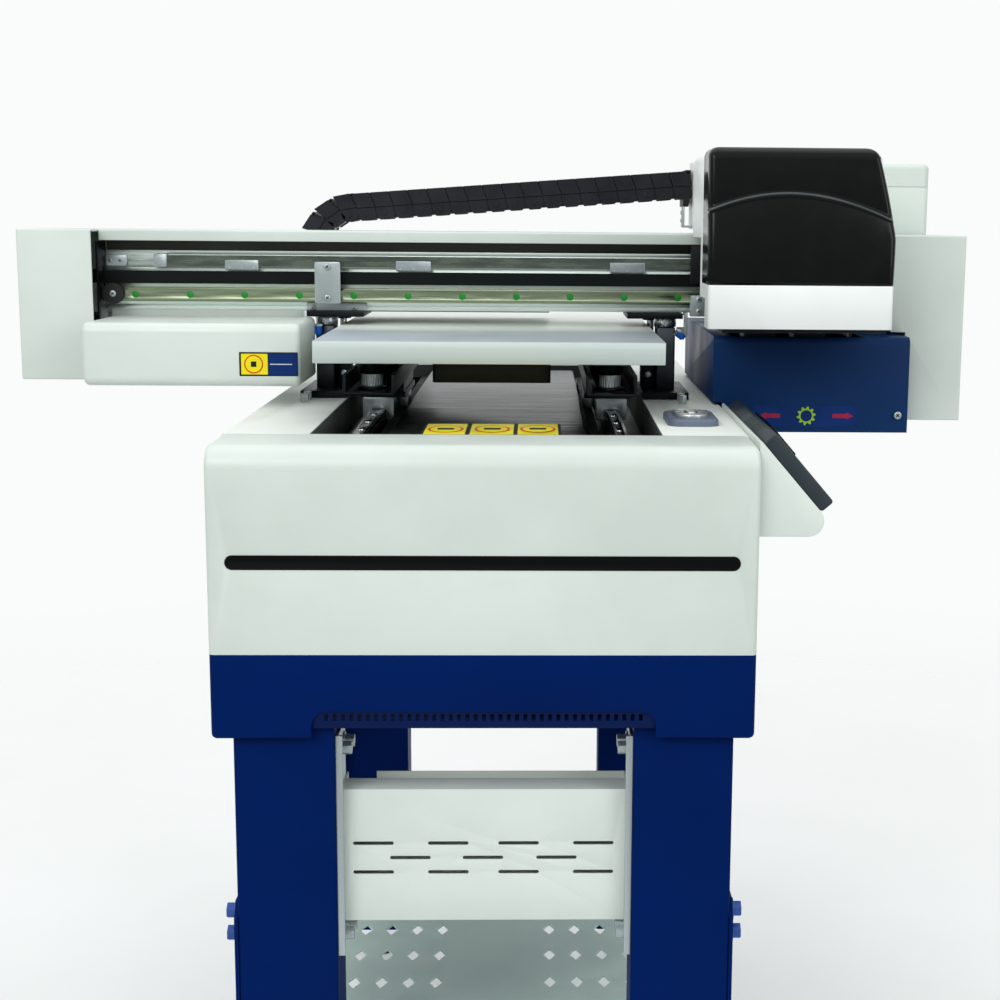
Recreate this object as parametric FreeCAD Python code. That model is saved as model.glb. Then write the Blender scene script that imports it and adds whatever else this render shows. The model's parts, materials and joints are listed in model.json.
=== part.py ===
import FreeCAD, Part
import math
import os

# Flatbed UV printer on a stand, in millimetres.
# X runs to the right, Y to the back and Z up. The origin is on the floor, under the middle of the machine.

# Overall and stand
HALF_W = 514.0                   # half the overall width, over the end caps
CAB_X = 243.5                    # half the cabinet's width
CAB_Y = 440.0                    # half the cabinet's depth
DECK_Z = 861.0                   # top of the deck
CAB_Z0 = 675.0                   # foot of the white cabinet
APRON_Z0 = 597.0                 # lower edge of the blue apron
SKIN = 2.5                       # sheet thickness of the cabinet and apron
LEG_X = (135.0, 226.0)           # inner and outer face of a leg
LEG_Y = (368.0, 428.0)           # near and far face of a leg, from the middle
LEG_Z0 = 40.0                    # underside of a leg
COVER_Y = -354.0                 # joint between the front cover and the deck
STRIP_Z = 758.5                  # light strip in the front cover
STRIP_L = 454.0
STRIP_H = 13.0

# Mains module on the back, keypad on the deck, and control panel on the right side
INLET_X = (-165.0, -98.0)
INLET_Z = (712.0, 742.0)
ROCKER_X = -110.0
ROCKER_Z = 727.0
KEYPAD = ((173.0, 223.0), (-291.0, -211.0), (DECK_Z, DECK_Z + 7))
KEY_C = (198.5, -247.0)
PANEL_Y = (-425.0, -125.0)
PANEL_TOP = (246.0, 865.0)       # X and Z of the slope's upper edge
PANEL_LOW = (307.0, 794.0)       # X and Z of the slope's lower edge
PANEL_FLOOR = 780.0

# Table drive along Y
OPEN_X = 163.0                   # half the deck opening
OPEN_Y = 351.0                   # back edge of the deck opening
PAN_Z = 823.0                    # floor of the pan in the deck opening
RAIL_W = 15.0                    # linear rail, width and height
Y_RAIL_X = 128.0
Y_RAIL_Z = 835.0                 # foot of the table's rails, on bars
PLATE_Z = 857.0                  # top of the steel plate between the rails
Y_RAIL_END = (-345.0, 326.0)      # front and back end of the table's rails
BLOCK_W = 34.0
BLOCK_Y = 45.0                   # guide blocks, from the middle
BLOCK_HALF = 22.0
Y_BELT_X = 103.5
Y_PULLEY_Y = 332.0
Y_PULLEY_Z = 836.0
Y_MOTOR_X = (168.0, 208.0)
CARRIER_Z = 863.0                # foot of the plates on the table's guide blocks
CHANNEL_X = 120.0
CHANNEL_W = 51.0
CHANNEL_Z = (884.0, 905.0)
CHANNEL_END = 244.0
LEVEL_Y = 205.0
TABLE_X = 171.5
TABLE_Y = 267.0
TABLE_Z = (918.0, 940.0)
FAN_Y = -138.0
FAN = 120.0
SHAFT_R = 4.0
FIT = 0.05                       # radial clearance of a running fit
BLOCK_GAP = 0.35                 # clearance between a guide block and its rail

# Gantry
BEAM_X = 433.0
BEAM_Y = (-17.0, 53.0)
BEAM_Z = (955.0, 1020.0)
COVER_TOP = 1043.0               # top of the beam cover and end caps
CAP_FRONT = -70.0
CAP_BACK = 56.0
RAIL_Z = 972.0                   # centre of the carriage rail
RAIL_HOLE_X0 = -397.3
RAIL_PITCH = 60.0
X_BELT_Z = (984.0, 998.0)
X_PULLEY_X = 464.0
X_PULLEY_Y = -15.0
X_BELT_R = 13.0                  # middle of the belt round its pulleys
BELT_T = 1.6
POST_X = (180.0, 201.0)
GUIDE_X = 190.5
GUIDE_Y = -8.0
GUIDE_R = 8.0
SCREW_X = 176.5
SCREW_Y = 30.0
Z_MOTOR_Z = (760.0, 816.0)
X_MOTOR_Z = (893.0, 950.0)
STATION_X = (235.5, 447.0)
STATION_Y = (-109.0, 225.0)
STATION_Z = (832.0, 935.0)
INK_X = (262.0, 502.0)
INK_Y = (60.0, 205.0)
INK_SEAM_Z = 1098.0              # joint between the ink cabinet and its lid
LID_TOP = 1124.0
HINGE_Y = 209.5
HINGE_Z = 1099.0

# Print carriage and cable chain
CAR_X = (216.0, 401.0)
CAR_FRONT = -227.0
CAR_SEAM_Y = -160.0
CAR_BACK = -44.0
CAR_Z = (951.0, 1130.0)
CAR_BAND_Z = 994.5               # top of the white band on the carriage front
CHAIN_Y = (62.0, 110.0)
CHAIN_H = 32.0
CHAIN_R = 50.0                   # middle of the chain round its bend
CHAIN_LOOP_X = -165.0
CHAIN_TOP_Z = 1069.0             # middle of the upper run at the bend
CHAIN_END = (223.0, 1098.0)
CHAIN_FIXED_X = 20.0

AXIS = {"x": 0, "y": 1, "z": 2}


def vec(x, y, z):
    return FreeCAD.Vector(x, y, z)


def box(x, y, z):
    """A block between two values on each axis."""
    return Part.makeBox(x[1] - x[0], y[1] - y[0], z[1] - z[0], vec(x[0], y[0], z[0]))


def about(middle, size):
    """The two values half a size either side of a middle."""
    return (middle - size / 2, middle + size / 2)


def rod(radius, start, end):
    """A round bar between two points."""
    base = vec(*start)
    run = vec(*end) - base
    return Part.makeCylinder(radius, run.Length, base, run)


def tube(radius, bore, start, end):
    return rod(radius, start, end).cut(rod(bore, start, end))


def prism(points, axis, lo, hi):
    """An outline drawn across one axis, and pulled from lo to hi along it."""
    place = {
        "x": lambda p: vec(lo, p[0], p[1]),
        "y": lambda p: vec(p[0], lo, p[1]),
        "z": lambda p: vec(p[0], p[1], lo),
    }[axis]
    corners = [place(p) for p in points]
    run = [0.0, 0.0, 0.0]
    run[AXIS[axis]] = hi - lo
    wire = Part.makePolygon(corners + corners[:1])
    return Part.Face(wire).extrude(vec(*run))


def hexagon(flats, start, end):
    """A six-sided bar between two points that differ along one axis."""
    run = [b - a for a, b in zip(start, end)]
    axis = max(AXIS, key=lambda name: abs(run[AXIS[name]]))
    across = [i for i in range(3) if i != AXIS[axis]]
    reach = flats / math.sqrt(3)
    points = []
    for k in range(6):
        turn = math.radians(60 * k + 30)
        points.append((start[across[0]] + reach * math.cos(turn), start[across[1]] + reach * math.sin(turn)))
    ends = sorted((start[AXIS[axis]], end[AXIS[axis]]))
    return prism(points, axis, ends[0], ends[1])


def stadium(cx, cy, length, width, z):
    """A slot-shaped block, long along Y."""
    straight = length - width
    ends = []
    for end_y in (cy - straight / 2, cy + straight / 2):
        ends.append(rod(width / 2, (cx, end_y, z[0]), (cx, end_y, z[1])))
    middle = box(about(cx, width), about(cy, straight), z)
    return ends[0].fuse([ends[1], middle]).removeSplitter()


def slot_x(cx, length, width, y, cz):
    """A slot-shaped block, long along X, through a range of Y."""
    half = (length - width) / 2
    ends = [rod(width / 2, (cx + s * half, y[0], cz), (cx + s * half, y[1], cz)) for s in (-1, 1)]
    middle = box((cx - half, cx + half), y, about(cz, width))
    return ends[0].fuse([ends[1], middle]).removeSplitter()


def round_edges(shape, radius, axis, where=None):
    """Round the straight edges along one axis whose middle passes a test."""
    chosen = []
    for edge in shape.Edges:
        if not isinstance(edge.Curve, Part.Line):
            continue
        way = edge.Curve.Direction
        if abs((way.x, way.y, way.z)[AXIS[axis]]) < 0.999:
            continue
        if where is None or where(edge.CenterOfMass):
            chosen.append(edge)
    return shape.makeFillet(radius, chosen)


def group(solids):
    """Separate solids that share one node."""
    flat = []
    for item in solids:
        flat.extend(item.Solids)
    return Part.makeCompound(flat)


def mirrored(shape):
    return shape.mirror(vec(0, 0, 0), vec(1, 0, 0))


def both_sides(shape):
    """A shape on the right and its mirror image on the left."""
    return [shape, mirrored(shape)]


def shell(x, y, z, wall, open_faces):
    """A block hollowed to a wall, with some faces left open, such as 'z-' or 'y+'."""
    inner = []
    for name, span in (("x", x), ("y", y), ("z", z)):
        lo = span[0] - 1 if name + "-" in open_faces else span[0] + wall
        hi = span[1] + 1 if name + "+" in open_faces else span[1] - wall
        inner.append((lo, hi))
    return box(x, y, z), box(*inner)


# ---------------------------------------------------------------- stand

def stand_frame():
    """Four box-section legs, and a side plate that ties each front leg to the leg behind it."""
    parts = []
    for side in (-1, 1):
        for end in (-1, 1):
            x = sorted((side * LEG_X[0], side * LEG_X[1]))
            y = sorted((end * LEG_Y[0], end * LEG_Y[1]))
            leg = round_edges(box(x, y, (LEG_Z0, CAB_Z0 - 3)), 3, "z")
            core = box((x[0] + SKIN, x[1] - SKIN), (y[0] + SKIN, y[1] - SKIN), (LEG_Z0 + 6, CAB_Z0))
            parts.append(leg.cut(core))
    plate_z = (120.0, 436.0)
    chamfer = 14.0
    outline = [(-LEG_Y[1], plate_z[0]), (LEG_Y[1], plate_z[0]), (LEG_Y[1], plate_z[1] - chamfer),
               (LEG_Y[1] - chamfer, plate_z[1]), (-LEG_Y[1] + chamfer, plate_z[1]),
               (-LEG_Y[1], plate_z[1] - chamfer)]
    plate = prism(outline, "x", LEG_X[1], LEG_X[1] + 3.5)
    window = round_edges(box((LEG_X[1] - 1, LEG_X[1] + 5), (-340, 340), (170, 368)), 20, "x")
    parts += both_sides(plate.cut(window))
    return group(parts)


def apron():
    """The stand's blue top frame, with a set-back vent strip in its front cut-out and a sheet behind."""
    outer = box((-CAB_X, CAB_X), (-CAB_Y, CAB_Y), (APRON_Z0, CAB_Z0))
    outer = round_edges(outer, 6, "z")
    outer = round_edges(outer, 5, "y", lambda m: m.z < APRON_Z0 + 1)
    core = box((-CAB_X + SKIN, CAB_X - SKIN), (-CAB_Y + SKIN, CAB_Y - SKIN), (APRON_Z0 - 1, CAB_Z0 - 3))
    notch = box((-154, 154), (-CAB_Y - 1, -CAB_Y + SKIN + 1), (APRON_Z0 - 1, 623))
    notch = round_edges(notch, 14, "y", lambda m: m.z > 600)
    frame = outer.cut([core, notch])
    strip_y = (-CAB_Y + SKIN, -CAB_Y + SKIN + 2)
    strip = box((-160, 160), strip_y, (607, 634))
    vents = []
    for k in range(-19, 20):
        vents.append(box(about(k * 7.4, 3.6), (strip_y[0] - 1, strip_y[1] + 1), (614, 620)))
    backing = box((-160, 160), (-LEG_Y[1] - 2, -LEG_Y[1]), (605, 640))
    return group([frame, strip.cut(vents), backing])


def leg_brackets():
    """Grey angle plates on the front legs' inner faces."""
    x = (LEG_X[0] - 3, LEG_X[0])
    plate = box(x, (-424, -372), (384, APRON_Z0 - 2))
    lip = box((x[0] - 3.5, x[0]), (-424, -421), (384, APRON_Z0 - 2))
    return group(both_sides(plate.fuse(lip).removeSplitter()))


def slotted_tray():
    """An accessory box between the front legs, with three rows of slots and a flange over its front."""
    x = (-132, 132)
    y = (-411, -361)
    z = (413, 540)
    outer, inner = shell(x, y, z, 1.5, ("z+",))
    outer = round_edges(outer, 3, "z")
    slots = []
    outer_slots = (-103, -34, 31, 100)
    inner_slots = (-69, -2, 66)
    for row_z, places in ((488, outer_slots), (474, inner_slots), (460, outer_slots)):
        for cx in places:
            slots.append(slot_x(cx, 37.5, 3.6, (y[0] - 1, y[0] + 3), row_z))
    corner = box((x[0] - 1, -104), (y[1] - 1.5, y[1] + 1), (532, z[1] + 1))
    flange = box((x[0] + 1, x[1] - 1), (y[0] + 1, -381), (z[1] - 1.5, z[1]))
    return outer.cut([inner, corner] + slots).fuse(flange)


def lower_shelf():
    """A shelf between the legs with two fields of diamond holes."""
    x = (-LEG_X[1], LEG_X[1])
    y = (-LEG_Y[0] + 0.5, LEG_Y[0] - 0.5)
    plate = box(x, y, (222, 224))
    lips = [box(x, (y[0], y[0] + 2), (198, 222)), box(x, (y[1] - 2, y[1]), (198, 222))]
    plate = plate.fuse(lips).removeSplitter()
    half_x = 7.5
    half_y = 14.0
    holes = []
    for row in range(-5, 6):
        cy = -26 + 66 * row
        for column in range(5):
            for side in (-1, 1):
                cx = side * (63 + 30 * column)
                points = [(cx - half_x, cy), (cx, cy - half_y), (cx + half_x, cy), (cx, cy + half_y)]
                holes.append(prism(points, "z", 221, 225))
    return plate.cut(holes)


def levelling_feet():
    """Four pads on threaded studs, each with a lock nut under its leg."""
    parts = []
    middle_x = sum(LEG_X) / 2
    middle_y = sum(LEG_Y) / 2
    for sx in (-1, 1):
        for sy in (-1, 1):
            cx = sx * middle_x
            cy = sy * middle_y
            pad = rod(26, (cx, cy, 0), (cx, cy, 7))
            crown = Part.makeCone(26, 12, 7, vec(cx, cy, 7))
            stud = rod(6, (cx, cy, 14), (cx, cy, LEG_Z0))
            nut = hexagon(19, (cx, cy, LEG_Z0 - 10), (cx, cy, LEG_Z0))
            parts.append(pad.fuse([crown, stud, nut]))
    return group(parts)


def stand_bolts():
    """Hexagon bolt heads: on the angle plates, and through the side plates into the legs."""
    parts = []
    inner = LEG_X[0] - 3
    outer = LEG_X[1] + 3.5
    for z in (398, 578):
        for y in (-405, -384):
            parts += both_sides(bolt_head(11, 10, (inner, y, z), -1))
    for y in (-410, 398):
        for z in (150, 401, 423):
            parts += both_sides(bolt_head(13, 9, (outer, y, z), 1))
    return group(parts)


def bolt_head(flats, height, base, way):
    """A washer and a hexagon head that stand out along X from a face."""
    x, y, z = base
    washer = rod(flats * 0.8, (x, y, z), (x + way * 1.5, y, z))
    head = hexagon(flats, (x + way * 1.5, y, z), (x + way * height, y, z))
    return washer.fuse(head)


# ---------------------------------------------------------------- cabinet

def cabinet_body():
    """White sheet cabinet with the deck, open towards the front cover."""
    x = (-CAB_X, CAB_X)
    y = (COVER_Y, CAB_Y)
    z = (CAB_Z0, DECK_Z)
    outer, inner = shell(x, y, z, SKIN, ("z-", "y-"))
    outer = round_edges(outer, 6, "z", lambda m: m.y > 0)
    outer = round_edges(outer, 2, "y", lambda m: m.z > DECK_Z - 1)
    tools = [inner, box((-OPEN_X, OPEN_X), (COVER_Y - 1, OPEN_Y), (DECK_Z - 5, DECK_Z + 1))]
    for side in (-1, 1):
        tools.append(rod(GUIDE_R + 1, (side * GUIDE_X, GUIDE_Y, 850), (side * GUIDE_X, GUIDE_Y, 870)))
        tools.append(rod(SHAFT_R + 1, (side * SCREW_X, SCREW_Y, 850), (side * SCREW_X, SCREW_Y, 870)))
    back = (CAB_Y - 5, CAB_Y + 1)
    tools.append(box(INLET_X, back, INLET_Z))
    for row in range(5):
        for column in range(6):
            tools.append(slot_x(40 + 28 * column, 20, 3.5, back, 705 + 10 * row))
    return outer.cut(tools)


def front_cover():
    """White front panel with a large rounded top edge and a long slot for the light strip."""
    x = (-CAB_X, CAB_X)
    y = (-CAB_Y, COVER_Y)
    outer, inner = shell(x, y, (CAB_Z0, DECK_Z), SKIN, ("z-", "y+"))
    outer = round_edges(outer, 20, "x", lambda m: m.z > DECK_Z - 1 and m.y < -CAB_Y + 1)
    outer = round_edges(outer, 5, "z", lambda m: m.y < -CAB_Y + 1)
    inner = round_edges(inner, 17.5, "x", lambda m: m.z > 800 and m.y < -400)
    return outer.cut([inner, strip_block((-CAB_Y - 1, -CAB_Y + SKIN + 1))])


def strip_block(y):
    return slot_x(0, STRIP_L, STRIP_H, y, STRIP_Z)


def front_strip():
    """Black lens of the light strip, set flush in the front cover."""
    return strip_block((-CAB_Y - 0.4, -CAB_Y + SKIN))


def tray_pan():
    """The pan in the deck opening that carries the rails."""
    x = (-OPEN_X + 0.2, OPEN_X - 0.2)
    y = (COVER_Y + 0.2, OPEN_Y - 0.2)
    outer, inner = shell(x, y, (PAN_Z - 1.5, DECK_Z), 1.5, ("z+",))
    hole = rod(SHAFT_R + 0.5, (OPEN_X - 3, Y_PULLEY_Y, Y_PULLEY_Z), (OPEN_X + 1, Y_PULLEY_Y, Y_PULLEY_Z))
    return outer.cut([inner, hole])


def linear_rail():
    """The outline of a linear rail, as width across and height, with its side grooves."""
    h = RAIL_W / 2
    return [(-h, 0), (h, 0), (h, 6), (h - 1.4, 8), (h, 10.5), (h, RAIL_W), (-h, RAIL_W),
            (-h, 10.5), (-h + 1.4, 8), (-h, 6)]


def y_rails():
    """Two guide rails under the table, with screw holes, on bars."""
    points = [(Y_RAIL_X + p[0], Y_RAIL_Z + p[1]) for p in linear_rail()]
    rail = prism(points, "y", *Y_RAIL_END)
    holes = []
    for k in range(-5, 6):
        cy = k * RAIL_PITCH
        holes.append(rod(3.75, (Y_RAIL_X, cy, Y_RAIL_Z + 10), (Y_RAIL_X, cy, Y_RAIL_Z + 16)))
    bar = box(about(Y_RAIL_X, RAIL_W), Y_RAIL_END, (PAN_Z, Y_RAIL_Z))
    return group(both_sides(rail.cut(holes)) + both_sides(bar))


def centre_cover():
    """Folded steel plate between the rails, with a second sheet on its front part."""
    sheet = 1.5
    outer, inner = shell((-94, 94), (-318, 318), (PAN_Z, PLATE_Z), sheet, ("z-", "y-", "y+"))
    outer = round_edges(outer, 2, "y", lambda m: m.z > PLATE_Z - 3)
    nose = box((-92, 92), (-350, -318), (PLATE_Z - sheet, PLATE_Z))
    front = box((-92, 92), (-350, -121), (PLATE_Z, PLATE_Z + 1))
    return outer.cut(inner).fuse([nose, front])


def belt_loop_y(cx, width):
    """A flat belt round two pulleys, in a plane across X."""
    x = about(cx, width)
    loops = []
    for radius in (10.0 + BELT_T / 2, 10.0 - BELT_T / 2):
        ends = []
        for y in (-Y_PULLEY_Y, Y_PULLEY_Y):
            ends.append(rod(radius, (x[0], y, Y_PULLEY_Z), (x[1], y, Y_PULLEY_Z)))
        runs = box(x, (-Y_PULLEY_Y, Y_PULLEY_Y), about(Y_PULLEY_Z, 2 * radius))
        loops.append(ends[0].fuse([ends[1], runs]).removeSplitter())
    return loops[0].cut(loops[1])


def y_belts():
    return group([belt_loop_y(s * Y_BELT_X, 10) for s in (-1, 1)])


def y_shaft(y, right_end):
    """A cross shaft with a toothed pulley for each belt."""
    parts = [rod(SHAFT_R, (-120, y, Y_PULLEY_Z), (right_end, y, Y_PULLEY_Z))]
    for side in (-1, 1):
        x = about(side * Y_BELT_X, 10.5)
        parts.append(rod(10 - BELT_T / 2 - 0.35, (x[0], y, Y_PULLEY_Z), (x[1], y, Y_PULLEY_Z)))
    return parts[0].fuse(parts[1:])


def motor(x, y, z, shaft_axis, end, bore_depth):
    """A square motor body with bevelled corners and a bore for its shaft at one end."""
    body = box(x, y, z)
    body = round_edges(body, 4, shaft_axis)
    middle = [sum(x) / 2, sum(y) / 2, sum(z) / 2]
    spans = {"x": x, "y": y, "z": z}
    face = spans[shaft_axis][0 if end < 0 else 1]
    start = list(middle)
    start[AXIS[shaft_axis]] = face + end * 1
    stop = list(middle)
    stop[AXIS[shaft_axis]] = face - end * bore_depth
    return body.cut(rod(SHAFT_R + FIT, start, stop))


def drive_motors():
    """The table motor beside the pan, the two lift motors under the deck, and the shaft bearings."""
    parts = [motor(Y_MOTOR_X, about(Y_PULLEY_Y, 42), about(Y_PULLEY_Z, 42), "x", -1, 12)]
    for side in (-1, 1):
        x = side * SCREW_X
        body = motor(about(x, 56), about(SCREW_Y + 2, 56), Z_MOTOR_Z, "z", 1, 12)
        parts.append(body.cut(rod(SHAFT_R + FIT, (x, SCREW_Y, Z_MOTOR_Z[1] - 12), (x, SCREW_Y, 830))))
    for side in (-1, 1):
        for end in (-1, 1):
            y = end * Y_PULLEY_Y
            block = box(sorted((side * 111.5, side * 120)), about(y, 19), (PAN_Z, PAN_Z + 24))
            bore = rod(SHAFT_R + FIT, (-130, y, Y_PULLEY_Z), (130, y, Y_PULLEY_Z))
            parts.append(block.cut(bore))
    return group(parts)


def electronics():
    """Power supply and control board on the cabinet floor."""
    supply = round_edges(box((-215, -100), (60, 275), (CAB_Z0, CAB_Z0 + 50)), 3, "z")
    stands = [rod(4, (x, y, CAB_Z0), (x, y, CAB_Z0 + 12)) for x in (-55, 95) for y in (90, 250)]
    board = box((-65, 105), (80, 260), (CAB_Z0 + 12, CAB_Z0 + 14))
    blocks = [box((-50, -10), (100, 180), (CAB_Z0 + 14, CAB_Z0 + 40)),
              box((20, 90), (110, 130), (CAB_Z0 + 14, CAB_Z0 + 24)),
              box((20, 90), (200, 240), (CAB_Z0 + 14, CAB_Z0 + 30))]
    return group([supply, board] + stands + blocks)


def power_inlet():
    """Mains inlet and the switch's frame, in one flanged module on the back."""
    inside = CAB_Y - SKIN
    width = INLET_X[1] - INLET_X[0]
    height = INLET_Z[1] - INLET_Z[0]
    middle = (sum(INLET_X) / 2, sum(INLET_Z) / 2)
    body = box(about(middle[0], width - 0.4), (CAB_Y - 28, CAB_Y + 0.4), about(middle[1], height - 0.4))
    flange = box(about(middle[0], width + 8), (inside - 3, inside), about(middle[1], height + 8))
    socket = round_edges(box((-160, -134), (CAB_Y - 16, CAB_Y + 3), (717, 737)), 4, "y")
    well = box((ROCKER_X - 8, ROCKER_X + 8), (CAB_Y - 14, CAB_Y + 3), about(ROCKER_Z, 25))
    pins = [box(about(x, 2), (CAB_Y - 16, CAB_Y - 3), about(727, 6)) for x in (-154, -147, -140)]
    shell_part = body.fuse(flange).cut([socket, well])
    return shell_part.fuse(pins)


def power_rocker():
    """The switch's rocker, tipped to its first position on a cross pivot."""
    key = box(about(ROCKER_X, 14), (CAB_Y - 10, CAB_Y - 1), about(ROCKER_Z, 21))
    dish = rod(30, (ROCKER_X - 10, CAB_Y + 28, ROCKER_Z), (ROCKER_X + 10, CAB_Y + 28, ROCKER_Z))
    key = key.cut(dish)
    key.rotate(vec(ROCKER_X, CAB_Y - 6, ROCKER_Z), vec(1, 0, 0), -7)
    return key


def keypad_housing():
    """A low rounded pad on the deck with an oval well for its keys."""
    pad = box(*KEYPAD)
    pad = round_edges(pad, 13, "z")
    top = [e for e in pad.Edges if abs(e.BoundBox.ZMin - KEYPAD[2][1]) < 0.01 and e.BoundBox.ZLength < 0.01]
    pad = pad.makeFillet(3, top)
    well = stadium(KEY_C[0], KEY_C[1], 53, 33, (DECK_Z + 2.5, DECK_Z + 20))
    post = stadium(KEY_C[0], KEY_C[1], 27, 13, (DECK_Z + 2.5, DECK_Z + 6.5)).cut(
        stadium(KEY_C[0], KEY_C[1], 24.6, 10.6, (DECK_Z + 2.5, DECK_Z + 20)))
    return pad.cut(well).fuse(post)


def key_ring():
    """Oval ring key round the centre key."""
    ring = stadium(KEY_C[0], KEY_C[1], 52, 32, (DECK_Z + 4.5, DECK_Z + 9.5))
    ring = ring.makeFillet(1.5, [e for e in ring.Edges if e.CenterOfMass.z > DECK_Z + 9.4])
    return ring.cut(stadium(KEY_C[0], KEY_C[1], 28, 14, (DECK_Z, DECK_Z + 20)))


def key_centre():
    key = stadium(KEY_C[0], KEY_C[1], 24, 10, (DECK_Z + 4, DECK_Z + 10.5))
    return key.makeFillet(1.2, [e for e in key.Edges if e.CenterOfMass.z > DECK_Z + 10.4])


def panel_bracket():
    """White wedge-shaped housing on the cabinet's right side."""
    def outline(inset):
        run = (PANEL_LOW[0] - PANEL_TOP[0], PANEL_LOW[1] - PANEL_TOP[1])
        length = math.hypot(*run)
        normal = (-run[1] / length, run[0] / length)
        top = (PANEL_TOP[0] - normal[0] * inset, PANEL_TOP[1] - normal[1] * inset)
        low = (PANEL_LOW[0] - normal[0] * inset, PANEL_LOW[1] - normal[1] * inset)
        grade = (low[0] - top[0]) / (low[1] - top[1])
        roof = PANEL_TOP[1] - inset
        floor = PANEL_FLOOR + inset
        low_x = low[0] + grade * (floor - low[1])
        top_x = top[0] + grade * (roof - top[1])
        return [(CAB_X, floor), (low_x, floor), (top_x, roof), (CAB_X, roof)]
    solid = prism(outline(0), "y", *PANEL_Y)
    solid = round_edges(solid, 14, "y", lambda m: m.x > CAB_X + 20)
    core = prism(outline(SKIN), "y", PANEL_Y[0] + SKIN, PANEL_Y[1] - SKIN)
    core = round_edges(core, 11.5, "y", lambda m: m.x > CAB_X + 20)
    return solid.cut(core)


def on_panel(along, off, y):
    """A block on the sloping panel face: distances down the slope, off it, and along Y."""
    run = (PANEL_LOW[0] - PANEL_TOP[0], PANEL_LOW[1] - PANEL_TOP[1])
    length = math.hypot(*run)
    down = (run[0] / length, run[1] / length)
    out = (-down[1], down[0])
    points = []
    for a, o in ((along[0], off[0]), (along[1], off[0]), (along[1], off[1]), (along[0], off[1])):
        points.append((PANEL_TOP[0] + down[0] * a + out[0] * o, PANEL_TOP[1] + down[1] * a + out[1] * o))
    return prism(points, "y", *y)


def control_panel():
    """Slate bezel on the slope, with a raised display module towards the back."""
    bezel = on_panel((2, 84), (0.1, 14.5), (-420, -140))
    bezel = round_edges(bezel, 3, "y")
    display = on_panel((24, 62), (14.5, 20), (-268, -152))
    return group([bezel, display])


# ---------------------------------------------------------------- posts and lift

def posts():
    """Base plates, hollow guide columns and angle brackets that stand on the deck beside the table."""
    parts = []
    base = box((164, 214), (-60, 60), (DECK_Z, DECK_Z + 8))
    column = round_edges(box(POST_X, about(GUIDE_Y, 32), (DECK_Z + 8, 938)), 2, "z")
    bore = rod(GUIDE_R + FIT, (GUIDE_X, GUIDE_Y, DECK_Z - 5), (GUIDE_X, GUIDE_Y, 950))
    wide = rod(GUIDE_R + 1, (GUIDE_X, GUIDE_Y, DECK_Z - 5), (GUIDE_X, GUIDE_Y, DECK_Z + 8))
    screw_hole = rod(SHAFT_R + 0.8, (SCREW_X, SCREW_Y, DECK_Z - 5), (SCREW_X, SCREW_Y, DECK_Z + 10))
    angle = box((164, POST_X[0]), (-6, 14), (DECK_Z + 8, 915))
    parts += both_sides(base.cut([wide, screw_hole]))
    parts += both_sides(column.cut(bore))
    parts += both_sides(angle)
    for z in (884, 899):
        parts += both_sides(rod(3.5, (172, -9.5, z), (172, -6, z)))
    for y in (-96, -52 - 22):
        parts += both_sides(hexagon(8, (204, y, DECK_Z), (204, y, DECK_Z + 9)))
    return group(parts)


def lift_guides():
    """The gantry's feet: top plates, guide shafts that slide in the columns, collars and screw nuts."""
    parts = []
    screw_hole = rod(SHAFT_R + FIT, (SCREW_X, SCREW_Y, 930), (SCREW_X, SCREW_Y, 960))
    plate = box((146, 208), (-40, 50), (BEAM_Z[0] - 6, BEAM_Z[0]))
    nut = rod(9, (SCREW_X, SCREW_Y, 943.5), (SCREW_X, SCREW_Y, BEAM_Z[0] - 6))
    shaft = rod(GUIDE_R, (GUIDE_X, GUIDE_Y, 800), (GUIDE_X, GUIDE_Y, BEAM_Z[0] - 6))
    collar = tube(12.5, GUIDE_R, (GUIDE_X, GUIDE_Y, 938.6), (GUIDE_X, GUIDE_Y, BEAM_Z[0] - 6))
    parts += both_sides(plate.cut(screw_hole))
    parts += both_sides(nut.cut(screw_hole))
    parts += both_sides(shaft)
    parts += both_sides(collar)
    return group(parts)


def lift_screw(side):
    """A lead screw from its motor up into the beam."""
    x = side * SCREW_X
    return rod(SHAFT_R, (x, SCREW_Y, Z_MOTOR_Z[1] - 10), (x, SCREW_Y, 1012))


# ---------------------------------------------------------------- table

def bed_table():
    """Flat aluminium table with a shallow air chamber over the fan."""
    slab = box((-TABLE_X, TABLE_X), (-TABLE_Y, TABLE_Y), TABLE_Z)
    slab = round_edges(slab, 1.2, "z")
    wall = 12
    chamber = box((-TABLE_X + wall, TABLE_X - wall), (-TABLE_Y + wall, TABLE_Y - wall),
                  (TABLE_Z[0] + 4, TABLE_Z[1] - 5))
    port = rod(FAN / 2 - 4, (0, FAN_Y, TABLE_Z[0] - 1), (0, FAN_Y, TABLE_Z[0] + 5))
    return slab.cut([chamber, port])


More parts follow.
